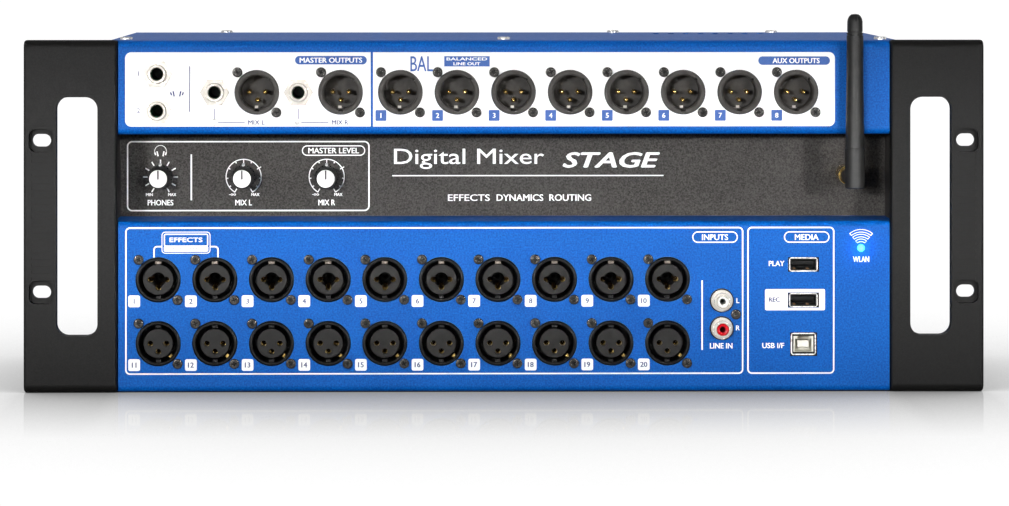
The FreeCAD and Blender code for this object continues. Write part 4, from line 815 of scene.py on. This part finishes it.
def port_details():
    """Painted shade round and in the computer ports: black frames where the cut-outs and the shells' mouths
    lie in shade, black linings that darken the shells' insides and the inner edges of their rims, and two
    contact springs in each host port.
    """
    shell_low, shell_high = span("usb_shells")
    across = (shell_low.x + shell_high.x) / 2
    # Painted shade: black frames where the cut-outs round the ports and the shells' mouths lie in shade.
    port_shade = Print("port_shade_frames", FRONT_FACE, FINISHES["black_plastic"])
    shade_linings, springs = bmesh.new(), bmesh.new()
    for up in USB_HOSTS:
        port_shade.fill([rectangle(across - 7.7, up - 3.7, across + 7.9, up + 3.7),
                       rectangle(across - 6.0, up - 2.4, across + 6.0, up + 2.4)], 1)
        # Painted shade: black linings darken the shells' insides and the inner edges of their rims.
        box_tube(shade_linings, (across, up), 6.36, 2.76, 0.3, FRONT_FACE - 0.05, 7.0)
        box_tube(shade_linings, (across, up), 6.62, 3.02, 0.56, FRONT_FACE - 0.42, FRONT_FACE - 0.31)
        for offset in (-4.4, 2.3):
            outline = [(up - 2.45, -4.0), (up - 1.9, -3.4), (up - 1.9, 1.0), (up - 2.45, 1.5)]
            prism(springs, outline, across + offset, 0.6)
    port_shade.fill([rectangle(across - 6.7, USB_DEVICE - 6.1, across + 6.9, USB_DEVICE + 5.8),
                   rectangle(across - 5.0, USB_DEVICE - 4.0, across + 5.0, USB_DEVICE + 4.0)], 1)
    port_shade.place("case", "black_plastic")
    new_piece("port_shade_linings", shade_linings, FINISHES["black_plastic"], "case")
    copper = plated("spring_copper", (0.70, 0.38, 0.20), (0.85, 0.55, 0.32), 0.30, 1.0, 0.0008)
    new_piece("port_springs", springs, copper, "case")


def screw_cross_shade():
    """Painted shade in the cross recess of every socket screw: a thin black cross on each head, each turned
    its own way.
    """
    chance = random.Random(24)
    # Painted shade: a black cross over each screw head stands in for the shade in its recess.
    cross_shade = Print("screw_cross_shade", span("connector_screws")[0].y, FINISHES["black_plastic"])
    sockets = [(x, OUTPUT_ROW) for x in [LEFT_MASTER, RIGHT_MASTER] + AUX_OUTPUTS]
    sockets += [(x, row) for row in (COMBO_ROW, MIC_ROW) for x in INPUTS]
    for socket in sockets:
        for sign in (-1, 1):
            middle = (socket[0] + sign * SCREW_OFFSET[0], socket[1] - sign * SCREW_OFFSET[1])
            turn = chance.uniform(0.0, 90.0)
            for quarter in (0.0, 90.0):
                ends = [turned_point(middle, 1.15, turn + quarter + half) for half in (0.0, 180.0)]
                cross_shade.fill([bar(ends[0], ends[1], 0.62)], quarter * 0.002)
    cross_shade.place("case", "black_screw")


jack_liners()
knob_pointers()
ground_tabs()
bore_stops()
port_details()
screw_cross_shade()


# ---------------------------------------------------------------- studio
# Strengths of the surroundings, and the front lights' distance and height in metres and fan in degrees.
WALL_LIGHT = 0.80
SKY_LIGHT = 0.30
ROOM_LIGHT = 0.16
CARD_LIGHT = 0.45
FLOOR_REACH = 60.0
KEY_DISTANCE = 2.0
KEY_RISE = 0.235
KEY_FAN = 9.4


def soft_light(name, place, aim, width, height, power, fan=180.0):
    """A softbox; a narrow fan keeps its light near its own axis, as a grid does."""
    data = bpy.data.lights.new(name, "AREA")
    data.shape = "RECTANGLE"
    data.size, data.size_y = width, height
    data.energy = power
    data.spread = math.radians(fan)
    lamp = bpy.data.objects.new(name, data)
    lamp.location = place
    lamp.rotation_mode = "QUATERNION"
    lamp.rotation_quaternion = (Vector(aim) - Vector(place)).to_track_quat("-Z", "Y")
    bpy.context.scene.collection.objects.link(lamp)
    return lamp


def front_light(name, degrees, power):
    """A wide strip at an angle to the object's left or right, whose light fades up and down."""
    angle = math.radians(degrees)
    place = (KEY_DISTANCE * math.sin(angle), -KEY_DISTANCE * math.cos(angle), KEY_RISE)
    soft_light(name, place, (0.0, 0.0, 0.0), 0.9, 0.10, power, KEY_FAN)


def studio_lights():
    front_light("left_front", -16.0, 0.40)
    front_light("right_front", 18.0, 0.30)
    front_light("left_side", -43.0, 0.12)
    front_light("right_side", 43.0, 0.10)
    overhead = soft_light("overhead", (0.0, -0.50, 0.62), (0.0, 0.0, 0.0), 1.1, 0.25, 1.4)
    rear = soft_light("rear_top", (0.0, 0.90, 0.90), (0.0, 0.10, 0.09), 1.2, 0.40, 6.5)
    for lamp in (overhead, rear):
        lamp.visible_glossy = False


def lamp_glow():
    """The little blue lamp lights the paint round it."""
    data = bpy.data.lights.new("wireless_lamp_glow", "POINT")
    data.energy = 0.0042
    data.color = (0.0, 0.32, 1.0)
    data.shadow_soft_size = 0.9 * MM
    glow = bpy.data.objects.new("wireless_lamp_glow", data)
    glow.location = Vector((LAMP[0], FRONT_FACE - 3.4, LAMP[1])) * MM
    bpy.context.scene.collection.objects.link(glow)


def emptied(tree):
    tree.nodes.clear()
    return Graph(tree)


def studio_world():
    """White to the camera; as a light, a white wall behind the object and a dim room in front of it.

    Reflections see pale cards in the room as well, with dark gaps between them."""
    world = bpy.data.worlds.new("studio")
    bpy.context.scene.world = world
    world.use_nodes = True
    graph = emptied(world.node_tree)
    path = graph.node("ShaderNodeLightPath").outputs
    looking = graph.axes(graph.node("ShaderNodeTexCoord").outputs["Generated"])
    beside = graph.ramp(graph.maths("ABSOLUTE", looking["X"]),
                        ((0.0, 1.0), (0.40, 1.0), (0.47, 0.10), (0.66, 0.10), (0.73, 0.9), (1.0, 0.5)))
    above = graph.ramp(looking["Z"],
                       ((0.0, 1.0), (0.34, 1.0), (0.44, 0.12), (0.70, 0.12), (0.80, 0.7), (1.0, 0.7)))
    cards = graph.maths("MULTIPLY", graph.maths("MULTIPLY", beside, above), CARD_LIGHT)
    room = graph.blend(path["Is Glossy Ray"], ROOM_LIGHT, cards)
    wall = graph.levels(looking["Z"], WALL_LIGHT, SKY_LIGHT, 0.10, 0.45)
    level = graph.blend(graph.levels(looking["Y"], 0.0, 1.0, -0.15, 0.25), room, wall)
    lighting, seen = graph.node("ShaderNodeBackground"), graph.node("ShaderNodeBackground")
    graph.feed(lighting.inputs["Color"], level)
    seen.inputs["Color"].default_value = (1, 1, 1, 1)
    output = graph.node("ShaderNodeOutputWorld")
    graph.feed(output.inputs["Surface"],
               graph.either(path["Is Camera Ray"], lighting.outputs[0], seen.outputs[0]))


def floor_material():
    """To the camera, white with contact shading and a mirror that fades ahead of the object; else matt."""
    material = bpy.data.materials.new("pale_floor")
    material.use_nodes = True
    graph = emptied(material.node_tree)
    shade = graph.node("ShaderNodeAmbientOcclusion", samples=16)
    shade.inputs["Distance"].default_value = 1.2
    glow = graph.node("ShaderNodeEmission")
    open_sky = graph.maths("POWER", shade.outputs["AO"], 1.5)
    graph.feed(glow.inputs["Strength"], graph.maths("MULTIPLY", open_sky, 1.05))
    gloss = graph.node("ShaderNodeBsdfGlossy")
    gloss.inputs["Roughness"].default_value = 0.05
    place = graph.axes(graph.node("ShaderNodeTexCoord").outputs["Object"])
    nearness = graph.levels(place["Y"], 0.0, 0.34, -0.20, -0.01)
    under_ears = graph.ramp(graph.maths("ABSOLUTE", place["X"]),
                            ((0.0, 0.59), (0.190, 0.59), (0.200, 1.0), (0.242, 1.0), (0.248, 0.0)))
    ahead = graph.levels(place["Y"], 1.0, 0.0, 0.0, 0.15)
    mirror = graph.maths("MULTIPLY", graph.maths("MULTIPLY", nearness, under_ears), ahead)
    matt = graph.node("ShaderNodeBsdfDiffuse")
    matt.inputs["Color"].default_value = (0.35, 0.35, 0.35, 1)
    camera_ray = graph.node("ShaderNodeLightPath").outputs["Is Camera Ray"]
    seen = graph.either(mirror, glow.outputs[0], gloss.outputs[0])
    output = graph.node("ShaderNodeOutputMaterial")
    graph.feed(output.inputs["Surface"], graph.either(camera_ray, matt.outputs[0], seen))
    return material


def studio_floor():
    """A pale floor at the ears' feet."""
    mesh = bmesh.new()
    corners = [mesh.verts.new((x * FLOOR_REACH, y * FLOOR_REACH, PANEL_BOTTOM * MM))
               for x, y in ((-1, -1), (1, -1), (1, 1), (-1, 1))]
    mesh.faces.new(corners)
    data = bpy.data.meshes.new("studio_floor")
    mesh.to_mesh(data)
    mesh.free()
    data.materials.append(floor_material())
    floor = bpy.data.objects.new("studio_floor", data)
    bpy.context.scene.collection.objects.link(floor)


def shift_lens_when_level(camera, shift):
    """Shifts the lens while the camera has its own Euler angles; a camera turned by quaternion is centred."""
    curve = camera.data.driver_add("shift_y")
    for modifier in list(curve.modifiers):
        curve.modifiers.remove(modifier)
    curve.driver.type = "AVERAGE"
    variable = curve.driver.variables.new()
    variable.targets[0].id = camera
    variable.targets[0].data_path = "rotation_mode"
    for mode, value in ((0, 0.0), (1, shift)):
        curve.keyframe_points.insert(mode, value).interpolation = "LINEAR"


def studio_camera():
    """Just above the object, a little to its left: level, with the lens shifted down."""
    data = bpy.data.cameras.new("studio_camera")
    data.lens = 149.14
    data.sensor_width = 36.0
    data.clip_start, data.clip_end = 0.05, 200.0
    camera = bpy.data.objects.new("studio_camera", data)
    camera.location = (-0.03225, -2.10775, 0.13755)
    shift_lens_when_level(camera, -0.30773)
    camera.rotation_euler = (math.radians(90.0), 0.0, math.radians(-0.88))
    bpy.context.scene.collection.objects.link(camera)
    bpy.context.scene.camera = camera


bpy.context.scene.view_settings.view_transform = "Standard"
studio_world()
studio_floor()
studio_camera()
lamp_glow()
studio_lights()
